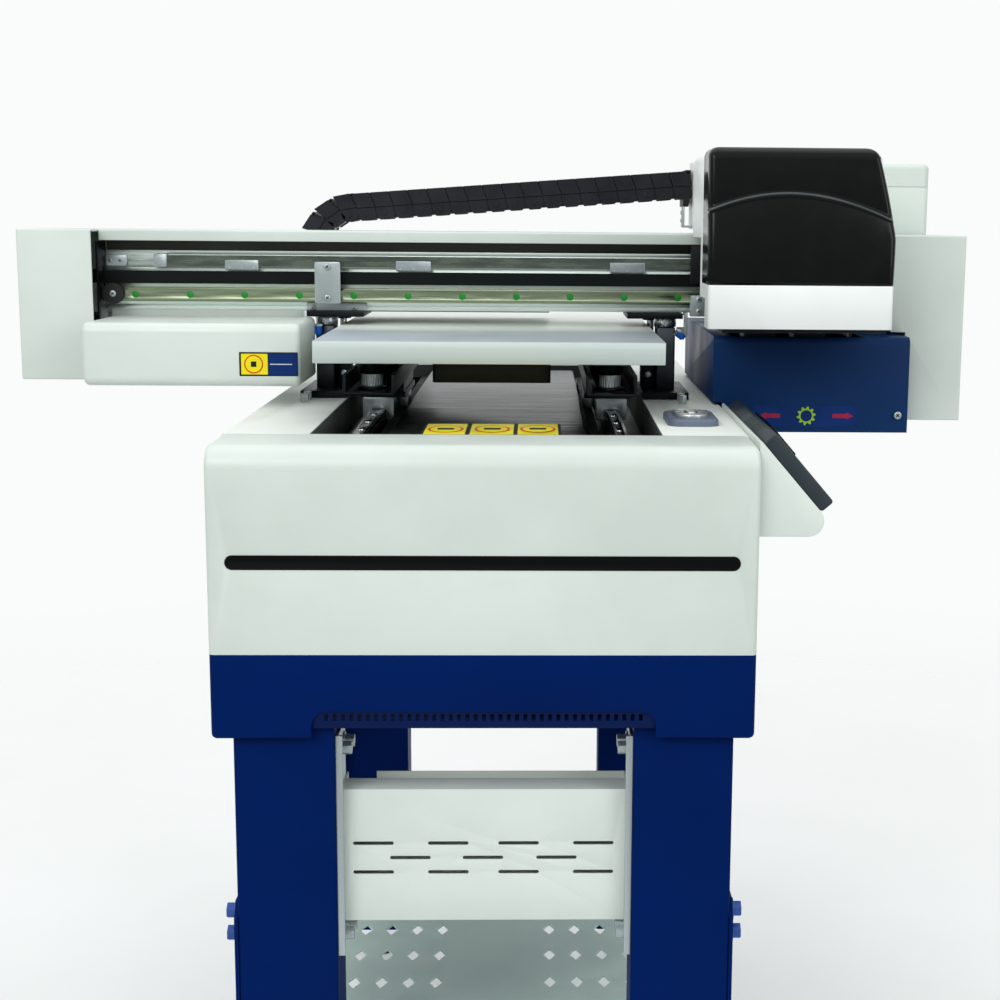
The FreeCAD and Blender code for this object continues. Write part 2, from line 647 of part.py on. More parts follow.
def bed_channels():
    """Two channels along the table, and the levelling studs, washers and hubs that join them to it."""
    parts = []
    x = about(CHANNEL_X, CHANNEL_W)
    outer, inner = shell(x, (-CHANNEL_END, CHANNEL_END), CHANNEL_Z, 3, ("z+", "y-", "y+"))
    outer = round_edges(outer, 4, "y", lambda m: m.z < CHANNEL_Z[0] + 1)
    channel = outer.cut(inner)
    floor_z = CHANNEL_Z[0] + 3
    studs = []
    for end in (-1, 1):
        y = end * LEVEL_Y
        stud = rod(SHAFT_R, (CHANNEL_X, y, CHANNEL_Z[0] - 5), (CHANNEL_X, y, TABLE_Z[0]))
        below = rod(15, (CHANNEL_X, y, CHANNEL_Z[0] - 4), (CHANNEL_X, y, CHANNEL_Z[0]))
        above = rod(15, (CHANNEL_X, y, floor_z), (CHANNEL_X, y, floor_z + 3))
        hub = Part.makeCone(12, 17, 15, vec(CHANNEL_X, y, TABLE_Z[0] - 15))
        studs.append(stud.fuse([below, above, hub]))
        channel = channel.cut(rod(SHAFT_R, (CHANNEL_X, y, 880), (CHANNEL_X, y, 890)))
    parts += both_sides(channel)
    for stud in studs:
        parts += both_sides(stud)
    return group(parts)


def levelling_nut(side, end):
    """A knurled nut on a levelling stud."""
    x = side * CHANNEL_X
    y = end * LEVEL_Y
    z = (CHANNEL_Z[0] + 6.4, TABLE_Z[0] - 15.4)
    nut = rod(11, (x, y, z[0]), (x, y, z[1]))
    grooves = []
    for k in range(24):
        turn = math.radians(15 * k)
        gx = x + 11.4 * math.cos(turn)
        gy = y + 11.4 * math.sin(turn)
        grooves.append(rod(0.8, (gx, gy, z[0] + 1.5), (gx, gy, z[1] - 1.5)))
    bore = rod(SHAFT_R + FIT, (x, y, z[0] - 1), (x, y, z[1] + 1))
    return nut.cut(grooves + [bore])


def bed_carriage():
    """Guide blocks, plates, risers and belt clamps that carry the table, on each side."""
    parts = []
    reach = BLOCK_Y + BLOCK_HALF
    parts += both_sides(box((98, 150), (-reach, reach), (CARRIER_Z, CARRIER_Z + 6)))
    parts += both_sides(box(about(CHANNEL_X, 40), (-reach, reach), (CARRIER_Z + 6, CHANNEL_Z[0])))
    clamp = box(about(Y_BELT_X, 10), (-20, 20), (Y_PULLEY_Z + 10 + BELT_T / 2 + 0.4, CARRIER_Z))
    parts += both_sides(clamp)
    groove_z = (Y_RAIL_Z, Y_RAIL_Z + RAIL_W + BLOCK_GAP)
    groove = box(about(Y_RAIL_X, RAIL_W + 2 * BLOCK_GAP), (-100, 100), groove_z)
    for end in (-1, 1):
        block_y = about(end * BLOCK_Y, 2 * BLOCK_HALF)
        block = box(about(Y_RAIL_X, BLOCK_W), block_y, (Y_RAIL_Z + 4, CARRIER_Z))
        parts += both_sides(round_edges(block, 2, "y").cut(groove))
    return group(parts)


def bed_fan():
    """Square fan frame under the table, with its motor seat on four arms."""
    z = (TABLE_Z[0] - 25, TABLE_Z[0])
    frame = round_edges(box(about(0, FAN), about(FAN_Y, FAN), z), 5, "z")
    duct = rod(FAN / 2 - 3, (0, FAN_Y, z[0] - 1), (0, FAN_Y, z[1] + 1))
    frame = frame.cut(duct)
    seat = rod(20, (0, FAN_Y, z[0]), (0, FAN_Y, z[0] + 3))
    arms = []
    for turn in (0, 90, 180, 270):
        arm = box((18, FAN / 2 - 2), (-3, 3), (z[0], z[0] + 3))
        arm.rotate(vec(0, 0, 0), vec(0, 0, 1), turn + 20)
        arm.translate(vec(0, FAN_Y, 0))
        arms.append(arm)
    return frame.fuse([seat] + arms)


def fan_rotor():
    """Hub and seven pitched blades."""
    z = (TABLE_Z[0] - 21, TABLE_Z[0] - 4)
    hub = rod(19, (0, 0, z[0]), (0, 0, z[1]))
    blades = []
    for k in range(7):
        blade = box((17, FAN / 2 - 6), (-0.8, 0.8), (-9, 9))
        blade.rotate(vec(0, 0, 0), vec(1, 0, 0), 52)
        blade.translate(vec(0, 0, sum(z) / 2))
        blade.rotate(vec(0, 0, 0), vec(0, 0, 1), 360 * k / 7)
        blades.append(blade)
    rotor = hub.fuse(blades)
    rotor.translate(vec(0, FAN_Y, 0))
    return rotor


# ---------------------------------------------------------------- gantry

def beam():
    """Hollow aluminium beam with front grooves, a spacer on top and the chain's tray behind."""
    x = (-BEAM_X, BEAM_X)
    outer = box(x, BEAM_Y, BEAM_Z)
    core = box((-BEAM_X - 1, BEAM_X + 1), (BEAM_Y[0] + 5, BEAM_Y[1] - 5), (BEAM_Z[0] + 5, BEAM_Z[1] - 5))
    tools = [core]
    for z in (960.5, 1001.0, 1016.0):
        tools.append(box((-BEAM_X - 1, BEAM_X + 1), (BEAM_Y[0] - 1, BEAM_Y[0] + 1), about(z, 1.2)))
    for side in (-1, 1):
        tools.append(rod(SHAFT_R + 1.5, (side * SCREW_X, SCREW_Y, 950), (side * SCREW_X, SCREW_Y, 962)))
    spacer = box(x, (-8, 46), (BEAM_Z[1], COVER_TOP - 2.5))
    tray_x = (-426, 60)
    tray = box(tray_x, (BEAM_Y[1] + 1.5, CHAIN_Y[1] + 3), (949.6, 951.6))
    hook = box(tray_x, (BEAM_Y[1], BEAM_Y[1] + 1.5), (949.6, 975))
    return group([outer.cut(tools), spacer, tray.fuse(hook)])


def x_rail():
    """Carriage rail on the beam's front, with green plugs over its screws."""
    points = [(BEAM_Y[0] - p[1], RAIL_Z + p[0]) for p in linear_rail()]
    rail = prism(points, "x", -BEAM_X + 1, BEAM_X - 7)
    parts = []
    holes = []
    face = BEAM_Y[0] - RAIL_W
    k = 0
    while RAIL_HOLE_X0 + RAIL_PITCH * k < BEAM_X - 20:
        cx = RAIL_HOLE_X0 + RAIL_PITCH * k
        holes.append(rod(3.9, (cx, face - 1, RAIL_Z), (cx, face + 3, RAIL_Z)))
        parts.append(rod(3.9, (cx, face + 0.2, RAIL_Z), (cx, face + 3, RAIL_Z)))
        k += 1
    return group([rail.cut(holes)] + parts)


def x_belt():
    """Flat belt round the pulleys behind the end caps, one run in front of the beam and one inside it."""
    loops = []
    for radius in (X_BELT_R + BELT_T / 2, X_BELT_R - BELT_T / 2):
        ends = []
        for x in (-X_PULLEY_X, X_PULLEY_X):
            ends.append(rod(radius, (x, X_PULLEY_Y, X_BELT_Z[0]), (x, X_PULLEY_Y, X_BELT_Z[1])))
        runs = box((-X_PULLEY_X, X_PULLEY_X), about(X_PULLEY_Y, 2 * radius), X_BELT_Z)
        loops.append(ends[0].fuse([ends[1], runs]).removeSplitter())
    return loops[0].cut(loops[1])


def x_pulley(side, shaft_end=None):
    """A flanged belt pulley, on a shaft or bored for a fixed pin."""
    x = side * X_PULLEY_X
    y = X_PULLEY_Y
    drum = rod(X_BELT_R - BELT_T / 2 - 0.35, (x, y, X_BELT_Z[0] - 2), (x, y, X_BELT_Z[1] + 2))
    flanges = [rod(15.5, (x, y, z), (x, y, z + 1.6)) for z in (X_BELT_Z[0] - 2, X_BELT_Z[1] + 0.4)]
    pulley = drum.fuse(flanges)
    if shaft_end is None:
        return pulley.cut(rod(SHAFT_R + FIT, (x, y, 960), (x, y, 1010)))
    return pulley.fuse(rod(SHAFT_R, (x, y, shaft_end), (x, y, X_BELT_Z[0])))


def x_motor():
    """Carriage motor, upright inside the left end cap."""
    return motor(about(-X_PULLEY_X, 57), about(X_PULLEY_Y, 57), X_MOTOR_Z, "z", 1, 12)


def encoder_strip():
    """Thin graduated strip along the beam."""
    return box((-364, 418), (-24.2, -23.6), (1003, 1015))


def beam_fittings():
    """Small fittings on the beam's front: stops, strip clips and hooks, side plates, the idler's bracket."""
    front = BEAM_Y[0]
    parts = []
    stop = round_edges(box((-199, -171), (-40, -37), (963.7, 1009)), 2, "y")
    legs = [box(about(-185, 12), (-37, front), (X_BELT_Z[1] + 1, 1002.5))]
    parts.append(stop.fuse(legs))
    for z in (970, 1004):
        parts.append(rod(3.2, (-185, -42, z), (-185, -40, z)))
    parts.append(round_edges(box((-211, -144), (front - 4, front), (955.2, 963.4)), 1.5, "y"))
    for x in (-204, -158):
        parts.append(rod(2.8, (x, front - 5.8, 958), (x, front - 4, 958)))
    bumper = rod(11.5, (-420, front - 16, RAIL_Z + 1), (-420, front - 24, RAIL_Z + 1))
    parts.append(bumper)
    for x0, x1 in ((-299.6, -263), (-111, -72.4), (127, 166)):
        parts.append(round_edges(box((x0, x1), (-25, front), (999, 1010)), 1, "y").cut(
            box((x0 - 1, x1 + 1), (-24.3, -23.5), (1002.8, 1011))))
        for x in (x0 + 5, (x0 + x1) / 2, x1 - 5):
            parts.append(rod(1.1, (x, -26, 1000.9), (x, -25, 1000.9)))
    parts.append(round_edges(box((-431, -408), (front - 6, front), (1003, 1015)), 3, "y"))
    parts.append(rod(0.8, (-408, front - 4, 1009), (-378, front - 4, 1009)))
    parts.append(box((-378, -364), (front - 7, front), (1002, 1016)).cut(
        box((-365, -350), (-24.3, -23.5), (1000, 1018))))
    slot = box((-BEAM_X - 3, BEAM_X + 3), (-31.5, -24.5), (X_BELT_Z[0] - 4, X_BELT_Z[1] + 4))
    plate = (BEAM_X - 0.8, BEAM_X + 1)
    for x, low in (((-plate[1], -plate[0]), 886), (plate, STATION_Z[1] + 3)):
        parts.append(box(x, (-52, front - 0.5), (low, 1030)).cut(slot))
    base = box((BEAM_X + 1.5, X_PULLEY_X + 18), (-30, 0), (974, 979))
    pin = rod(SHAFT_R, (X_PULLEY_X, X_PULLEY_Y, 979), (X_PULLEY_X, X_PULLEY_Y, 1003))
    parts.append(base.fuse(pin))
    for side in (-1, 1):
        arm = box(about(side * 212.5, 4), (-27, -20), (930, BEAM_Z[0] - 3))
        foot = box(about(side * 212.5, 4), (-27, front + 7), (BEAM_Z[0] - 3, BEAM_Z[0]))
        eye = rod(4.5, (side * 202.5, -23.5, 934.5), (side * 210.5, -23.5, 934.5))
        parts.append(arm.fuse([foot, eye]))
    return group(parts)


def beam_covers():
    """White covers: the folded strip over the beam and the two end caps."""
    top, hollow = shell((-BEAM_X, BEAM_X), (-42, CAP_BACK), (1031, COVER_TOP), SKIN, ("x-", "x+", "z-"))
    top = round_edges(top, 2, "x", lambda m: m.z > COVER_TOP - 1).cut(hollow)
    parts = [top]
    for side, low, open_face in ((-1, 881, "x+"), (1, 841, "x-")):
        x = sorted((side * HALF_W, side * (BEAM_X + 1)))
        outer, inner = shell(x, (CAP_FRONT, CAP_BACK), (low, COVER_TOP), SKIN, (open_face,))
        outer = round_edges(outer, 3, "z", lambda m, s=side: abs(m.x) > HALF_W - 1)
        outer = round_edges(outer, 1.5, "x")
        room = box((STATION_X[0], STATION_X[1] + 3), (-80, 60), (low - 1, STATION_Z[1] + 3))
        parts.append(outer.cut([inner, room]))
    return group(parts)


def left_cover():
    """White rounded cover under the left half of the beam, on two screws."""
    x = (-427, -201)
    y = (-147, -29)
    z = (882, 948)
    outer, inner = shell(x, y, z, 2, ("y+",))
    outer = round_edges(outer, 10, "x", lambda m: m.y < y[0] + 7)
    outer = round_edges(outer, 6, "y")
    inner = round_edges(inner, 8, "x", lambda m: m.y < y[0] + 7)
    inner = round_edges(inner, 4, "y")
    screws = [rod(4, (sx, -60, z[0] - 3), (sx, -60, z[0])) for sx in (-392, -230)]
    back = box((x[0], -216), (-17.5, -15.5), (z[0], 955))
    return group([outer.cut(inner), back] + screws)


def station_box():
    """Blue box for head cleaning on the right, hung from the beam, with a pump and a bottle inside."""
    outer, inner = shell(STATION_X, STATION_Y, STATION_Z, 2, ())
    step_y = (STATION_Y[0] - 1, STATION_Y[1] + 1)
    outer = outer.cut(box((STATION_X[0] - 1, CAB_X + 2), step_y, (STATION_Z[0] - 1, DECK_Z + 3)))
    inner = inner.cut(box((STATION_X[0] - 1, CAB_X + 4), step_y, (STATION_Z[0] - 1, DECK_Z + 5)))
    outer = round_edges(outer, 8, "x", lambda m: m.z > STATION_Z[1] - 1)
    inner = round_edges(inner, 6, "x", lambda m: m.z > STATION_Z[1] - 4)
    mouth = round_edges(box((256, 398), (-103, -44), (STATION_Z[1] - 6, STATION_Z[1] + 1)), 6, "z")
    box_part = outer.cut([inner, mouth])
    hangers = [box(x, (6, 44), (STATION_Z[1], BEAM_Z[0])) for x in ((262, 290), (396, 424))]
    pump = round_edges(box((300, 360), (60, 120), (STATION_Z[0] + 2, 890)), 5, "z")
    bottle = rod(30, (410, 100, STATION_Z[0] + 2), (410, 100, 910))
    wiper = box((384, 387), (-92, -50), (880, 943))
    foot = box((378, 393), (-95, -47), (STATION_Z[0] + 2, 880))
    guide = box((300, 334), (-80, -64), (STATION_Z[0] + 2, 860))
    screw = rod(4, (436, STATION_Y[0] - 1.8, 851), (436, STATION_Y[0], 851))
    return group([box_part] + hangers + [pump, bottle, foot, wiper, guide, screw])


def cap_carrier():
    """Lifting plate with two sealing caps for the print heads."""
    plate = round_edges(box((262, 372), (-100, -54), (905, 913)), 4, "z")
    stem = box((306, 328), (-78, -66), (860.5, 905))
    caps = []
    for cx in (286, 340):
        cap = box(about(cx, 34), (-99.5, -58), (913, 938))
        caps.append(round_edges(cap, 4, "z").cut(box(about(cx, 28), (-96.5, -61), (918, 939))))
    return plate.fuse([stem] + caps)


def ink_box():
    """White ink cabinet behind the beam on the right, with six bottles."""
    top = INK_SEAM_Z - 0.4
    outer, inner = shell(INK_X, INK_Y, (960, top), 2, ("z+",))
    outer = round_edges(outer, 10, "z")
    inner = round_edges(inner, 8, "z")
    parts = [outer.cut(inner)]
    parts.append(box((300, 400), (BEAM_Y[1] + 3.5, INK_Y[0]), (965, 1015)))
    parts.append(box((300, 400), (BEAM_Y[1], BEAM_Y[1] + 3.5), (965, 1015)))
    for k in range(6):
        cx = INK_X[0] + 25 + 38 * k
        cy = sum(INK_Y) / 2
        bottle = rod(17, (cx, cy, 962), (cx, cy, 1050))
        neck = rod(8, (cx, cy, 1050), (cx, cy, 1066))
        parts.append(bottle.fuse(neck))
    for x in ((300, 312), (452, 464)):
        ear = box(x, (INK_Y[1], INK_Y[1] + 8), (1086, HINGE_Z - 3))
        ear = ear.fuse(rod(4, (x[0], HINGE_Y, HINGE_Z), (x[1], HINGE_Y, HINGE_Z)))
        parts.append(ear.cut(rod(2, (x[0] - 1, HINGE_Y, HINGE_Z), (x[1] + 1, HINGE_Y, HINGE_Z))))
    for x in ((300, 336), (428, 464)):
        parts.append(rod(2, (x[0], HINGE_Y, HINGE_Z), (x[1], HINGE_Y, HINGE_Z)))
    return group(parts)


def ink_lid():
    """Hinged lid of the ink cabinet."""
    outer, inner = shell(INK_X, INK_Y, (INK_SEAM_Z, LID_TOP), 2, ("z-",))
    outer = round_edges(outer, 10, "z")
    outer = outer.makeFillet(6, [e for e in outer.Edges if e.BoundBox.ZMin > LID_TOP - 0.1])
    inner = round_edges(inner, 8, "z")
    inner = inner.makeFillet(4, [e for e in inner.Edges if e.BoundBox.ZMin > LID_TOP - 2.1])
    lid = outer.cut(inner)
    for x in ((312.5, 336), (428, 451.5)):
        knuckle = rod(4, (x[0], HINGE_Y, HINGE_Z), (x[1], HINGE_Y, HINGE_Z))
        leaf = box(x, (INK_Y[1] - 1, HINGE_Y), (HINGE_Z, HINGE_Z + 4))
        lid = lid.fuse([knuckle, leaf])
        lid = lid.cut(rod(2 + FIT, (x[0] - 1, HINGE_Y, HINGE_Z), (x[1] + 1, HINGE_Y, HINGE_Z)))
    return lid


# ---------------------------------------------------------------- carriage

def carriage_frame():
    """Back plate with its guide blocks and clamps, the heads' base plate, and the chain's steel arm."""
    parts = [box((230, 388), (-53, -46), (956, 1060))]
    half = 10.8
    rail_face = BEAM_Y[0] - RAIL_W
    groove = box((200, 420), (rail_face - BLOCK_GAP, BEAM_Y[0] + 1), about(RAIL_Z, RAIL_W + 2 * BLOCK_GAP))
    for cx in (290, 356):
        block = box(about(cx, 56), (-46, BEAM_Y[0] - 4.3), about(RAIL_Z, 2 * half))
        parts.append(block.cut(groove))
    front_run = X_PULLEY_Y - X_BELT_R - BELT_T / 2
    parts.append(box((300, 320), (-46, front_run - 0.4), X_BELT_Z))
    base = box((231, 396), (-222, -53), (947, CAR_Z[0]))
    windows = [box(about(cx, 38), (-103, -54), (946, 952)) for cx in (286, 340)]
    parts.append(base.cut(windows + [box((374, 394), (-150, -62), (946, 952))]))
    parts.append(box((214.5, 230), (-53, -43.5), (989, 1030)))
    parts.append(box((214.5, 230), (-60, -46), (953, 976)))
    arm = box((214, 217), (62, 75), (1049, 1073))
    parts.append(arm.fuse(box((217, 226), (62, 75), (1049, 1051.5))))
    return group(parts)


def print_heads():
    """Two print heads with their ink dampers above."""
    parts = []
    for cx in (286, 340):
        head = box(about(cx, 30), (-100, -58), (951.5, 1000))
        nozzle = box(about(cx, 24), (-96, -62), (950, 951.5))
        damper = round_edges(box(about(cx, 26), (-98, -60), (1000, 1032)), 2, "z")
        parts.append(head.fuse([nozzle, damper]))
    return group(parts)


def uv_lamp():
    """Curing lamp with cooling fins, and its shield at the carriage's right edge."""
    lamp = box((376, 392), (-148, -64), (950, 1000))
    fins = [box((377, 391), about(y, 3), (1000, 1018)) for y in range(-144, -66, 8)]
    shield = box((401.4, 404), (-130, -112), (952, 990))
    tab = box((401.4, 404), (-118, -116), (990, 1000))
    return group([lamp.fuse(fins), shield.fuse(tab)])


def carriage_front_outline():
    """Front outline of the carriage covers: narrower at the top right, with rounded top corners."""
    x0, x1 = CAR_X
    bulge = [(x1 + 1.5, 1040), (x1 - 2, 1052)]
    return [(x0, CAR_BAND_Z), (x1, CAR_BAND_Z)] + bulge + [(x1 - 18, CAR_Z[1]), (x0, CAR_Z[1])]


def carriage_cover():
    """Black gloss hood on the front of the carriage, open at the back."""
    solid = prism(carriage_front_outline(), "y", CAR_FRONT, CAR_SEAM_Y)
    solid = round_edges(solid, 8, "y", lambda m: m.z > CAR_Z[1] - 1)
    solid = round_edges(solid, 10, "x", lambda m: m.z > CAR_Z[1] - 1 and m.y < CAR_FRONT + 1)
    core = box((CAR_X[0] + SKIN, CAR_X[1] - 21), (CAR_FRONT + SKIN, CAR_SEAM_Y + 1),
               (CAR_BAND_Z - 1, CAR_Z[1] - 11))
    return solid.cut(core)


def carriage_housing():
    """White body of the carriage: the band under the hood, the sides, and the bridge over the beam."""
    back = CAR_BACK - 10
    bridge_z = (COVER_TOP + 4, CAR_Z[1] - 6)
    band, band_core = shell(CAR_X, (CAR_FRONT, back), (CAR_Z[0], CAR_BAND_Z), SKIN, ("z-", "z+", "y+"))
    band = round_edges(band, 4, "z", lambda m: m.y < CAR_FRONT + 1)
    body_z = (CAR_BAND_Z, CAR_Z[1] - 4)
    body, body_core = shell((CAR_X[0], CAR_X[1] - 1), (CAR_SEAM_Y, back), body_z, SKIN, ("z-", "y-", "y+"))
    body = round_edges(body, 8, "y", lambda m: m.z > body_z[1] - 1)
    bridge_x = (CAR_X[0] + 10, CAR_X[1] - 4)
    bridge, bridge_core = shell(bridge_x, (back, CAP_BACK), bridge_z, SKIN, ("z-", "y-"))
    bridge = round_edges(bridge, 8, "y", lambda m: m.z > bridge_z[1] - 1)
    mount = box((bridge_x[0], 257), (CAP_BACK, CHAIN_Y[1] + 2), bridge_z)
    mount = round_edges(mount, 4, "z", lambda m: m.y > 100)
    whole = band.cut(band_core).fuse([body.cut(body_core), bridge.cut(bridge_core), mount])
    wall_x = (CAR_X[0] - 1, CAR_X[0] + SKIN + 0.5)
    window = box(wall_x, (-142, back + 1), (CAR_Z[0] - 1, 1040))
    slot = box(wall_x, (-192, -142), (CAR_Z[0] - 1, 980))
    return whole.removeSplitter().cut([window, slot])


# ---------------------------------------------------------------- cable chain

def chain_upper():
    """The chain's upper run, from its bend to the carriage."""
    half = CHAIN_H / 2
    x0 = CHAIN_LOOP_X
    x1, z1 = CHAIN_END
    points = [(x0, CHAIN_TOP_Z - half), (x1, z1 - half), (x1, z1 + half), (x0, CHAIN_TOP_Z + half)]
    return prism(points, "y", *CHAIN_Y)


def chain_lower():
    """The chain's lower run, fixed to the tray behind the beam."""
    z = about(CHAIN_TOP_Z - 2 * CHAIN_R, CHAIN_H)
    return box((CHAIN_LOOP_X, CHAIN_FIXED_X), CHAIN_Y, z)


def chain_loop():
    """The chain's bend."""
    z = CHAIN_TOP_Z - CHAIN_R
    ends = ((CHAIN_LOOP_X, CHAIN_Y[0], z), (CHAIN_LOOP_X, CHAIN_Y[1], z))
    ring = tube(CHAIN_R + CHAIN_H / 2, CHAIN_R - CHAIN_H / 2, *ends)
    keep = box((CHAIN_LOOP_X - 100, CHAIN_LOOP_X), CHAIN_Y, (z - 100, z + 100))
    return ring.common(keep)


PARTS = {
    "stand_frame": stand_frame, "apron": apron, "leg_brackets": leg_brackets, "slotted_tray": slotted_tray,
    "lower_shelf": lower_shelf, "levelling_feet": levelling_feet, "stand_bolts": stand_bolts,
    "cabinet_body": cabinet_body, "front_cover": front_cover, "front_strip": front_strip,
    "tray_pan": tray_pan,
    "y_rails": y_rails, "centre_cover": centre_cover, "y_belts": y_belts, "drive_motors": drive_motors,
    "electronics": electronics, "power_inlet": power_inlet, "power_rocker": power_rocker,
    "keypad_housing": keypad_housing, "key_ring": key_ring, "key_centre": key_centre,
    "panel_bracket": panel_bracket, "control_panel": control_panel, "posts": posts,
    "lift_guides": lift_guides, "bed_table": bed_table, "bed_channels": bed_channels,
    "bed_carriage": bed_carriage, "bed_fan": bed_fan, "fan_rotor": fan_rotor, "beam": beam, "x_rail": x_rail,
    "x_belt": x_belt, "x_motor": x_motor, "encoder_strip": encoder_strip, "beam_fittings": beam_fittings,
    "beam_covers": beam_covers, "left_cover": left_cover, "station_box": station_box,
    "cap_carrier": cap_carrier,
    "ink_box": ink_box, "ink_lid": ink_lid, "carriage_frame": carriage_frame, "print_heads": print_heads,
    "uv_lamp": uv_lamp, "carriage_cover": carriage_cover, "carriage_housing": carriage_housing,
    "chain_upper": chain_upper, "chain_lower": chain_lower, "chain_loop": chain_loop,
}


def all_parts():
    """Every node's name and shape."""
    shapes = {name: make() for name, make in PARTS.items()}
    for side, word in ((-1, "left"), (1, "right")):
        shapes["lift_screw_" + word] = lift_screw(side)
        for end, place in ((-1, "front"), (1, "rear")):
            shapes["levelling_nut_" + place + "_" + word] = levelling_nut(side, end)
    shapes["x_drive_pulley"] = x_pulley(-1, X_MOTOR_Z[1] - 10)
    shapes["x_idler_pulley"] = x_pulley(1)
    shapes["y_drive_shaft"] = y_shaft(Y_PULLEY_Y, Y_MOTOR_X[0] + 10)
    shapes["y_idler_shaft"] = y_shaft(-Y_PULLEY_Y, 120)
    return shapes


os.makedirs("parts", exist_ok=True)
for node, shape in all_parts().items():
    if not shape.isValid():
        print("invalid shape:", node)
    shape.exportStep("parts/" + node + ".step")
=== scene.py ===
import json
import math

import bmesh
import bpy
from mathutils import Matrix, Vector

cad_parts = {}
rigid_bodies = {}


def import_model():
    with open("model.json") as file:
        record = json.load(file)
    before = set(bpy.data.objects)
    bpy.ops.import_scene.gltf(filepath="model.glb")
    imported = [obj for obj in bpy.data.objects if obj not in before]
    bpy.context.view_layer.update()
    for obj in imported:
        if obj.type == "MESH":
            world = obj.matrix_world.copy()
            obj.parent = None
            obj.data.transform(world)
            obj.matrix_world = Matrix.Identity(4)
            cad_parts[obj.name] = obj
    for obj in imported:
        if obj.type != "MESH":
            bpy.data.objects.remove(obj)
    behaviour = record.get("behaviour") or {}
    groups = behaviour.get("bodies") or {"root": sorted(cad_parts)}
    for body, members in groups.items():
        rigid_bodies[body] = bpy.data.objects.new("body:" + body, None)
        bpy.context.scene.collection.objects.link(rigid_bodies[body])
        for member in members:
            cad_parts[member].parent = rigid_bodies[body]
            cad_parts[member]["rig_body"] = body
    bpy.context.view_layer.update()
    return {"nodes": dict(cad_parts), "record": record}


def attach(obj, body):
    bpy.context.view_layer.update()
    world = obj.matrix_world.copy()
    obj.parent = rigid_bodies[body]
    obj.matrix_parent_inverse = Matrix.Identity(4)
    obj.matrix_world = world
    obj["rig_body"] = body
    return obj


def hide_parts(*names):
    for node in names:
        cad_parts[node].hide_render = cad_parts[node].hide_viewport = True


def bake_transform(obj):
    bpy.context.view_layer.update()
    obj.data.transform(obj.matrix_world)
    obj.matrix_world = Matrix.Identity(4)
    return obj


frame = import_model()
NODES = frame["nodes"]
WELD = 1e-6                       # corners of a CAD mesh closer than this are one
FLAT_ANGLE = math.radians(0.4)    # faces this close to flat are merged
SHARP_ANGLE = math.radians(35)    # unbevelled edges above this stay sharp
SLOT_OF = {s["node"]: s["material_slot"] for s in frame["record"]["subparts"]}


# ------------------------------------------------------------------ materials

def linear(rgb):
    """sRGB 0-255 to a linear colour with alpha."""
    out = []
    for c in rgb:
        c /= 255
        out.append(c / 12.92 if c <= 0.04045 else ((c + 0.055) / 1.055) ** 2.4)
    return (*out, 1)


def shade(rgb, factor):
    return tuple(min(255, c * factor) for c in rgb)


class Graph:
    """Short names for building a node tree."""

    def __init__(self, tree):
        self.tree = tree
        self.tree.nodes.clear()

    def add(self, kind, **values):
        node = self.tree.nodes.new("ShaderNode" + kind)
        for key, value in values.items():
            setattr(node, key, value)
        return node

    def link(self, a, b):
        self.tree.links.new(a, b)

    def spread(self, value, lo, hi, low=0.35, high=0.65):
        node = self.add("MapRange")
        for key, number in (("From Min", low), ("From Max", high), ("To Min", lo), ("To Max", hi)):
            node.inputs[key].default_value = number
        self.link(value, node.inputs["Value"])
        return node.outputs[0]


class Look(Graph):
    """A node material whose colour, roughness and bump all vary over the surface."""

    def __init__(self, name):
        self.material = bpy.data.materials.new(name)
        self.material.use_nodes = True
        super().__init__(self.material.node_tree)
        out = self.add("OutputMaterial")
        self.shader = self.add("BsdfPrincipled")
        self.link(self.shader.outputs[0], out.inputs[0])
        self.coords = self.add("TexCoord").outputs["Object"]

    def stretched(self, scale):
        node = self.add("Mapping")
        node.inputs["Scale"].default_value = scale
        self.link(self.coords, node.inputs["Vector"])
        return node.outputs[0]

    def noise(self, scale, detail=3.0, vector=None, rough=0.5):
        node = self.add("TexNoise")
        node.inputs["Scale"].default_value = scale
        node.inputs["Detail"].default_value = detail
        node.inputs["Roughness"].default_value = rough
        self.link(vector or self.coords, node.inputs["Vector"])
        return node.outputs["Fac"]

    def mix(self, factor, a, b):
        node = self.add("Mix", data_type="RGBA")
        self.link(factor, node.inputs[0])
        for socket, value in ((node.inputs[6], a), (node.inputs[7], b)):
            if isinstance(value, tuple):
                socket.default_value = linear(value)
            else:
                self.link(value, socket)
        return node.outputs[2]

    def colour(self, value):
        self.link(value, self.shader.inputs["Base Color"])

    def bump(self, height, distance, strength=1.0):
        node = self.add("Bump")
        node.inputs["Strength"].default_value = strength
        node.inputs["Distance"].default_value = distance
        self.link(height, node.inputs["Height"])
        self.link(node.outputs[0], self.shader.inputs["Normal"])

    def set(self, **values):
        for key, value in values.items():
            self.shader.inputs[key.replace("_", " ")].default_value = value
        return self


def paint(name, rgb, rough=0.42, peel=0.00006, vary=0.05, shine=0.5):
    """Sprayed or powder-coated metal: fine orange peel, faint smudges."""
    look = Look(name)
    look.colour(look.mix(look.spread(look.noise(6, 5), 0, 1), shade(rgb, 1 - vary / 2), shade(rgb, 1 + vary / 2)))
    look.link(look.spread(look.noise(14, 6), rough - 0.07, rough + 0.07), look.shader.inputs["Roughness"])
    look.bump(look.noise(700, 2), peel)
    look.set(Specular_IOR_Level=shine)
    return look.material


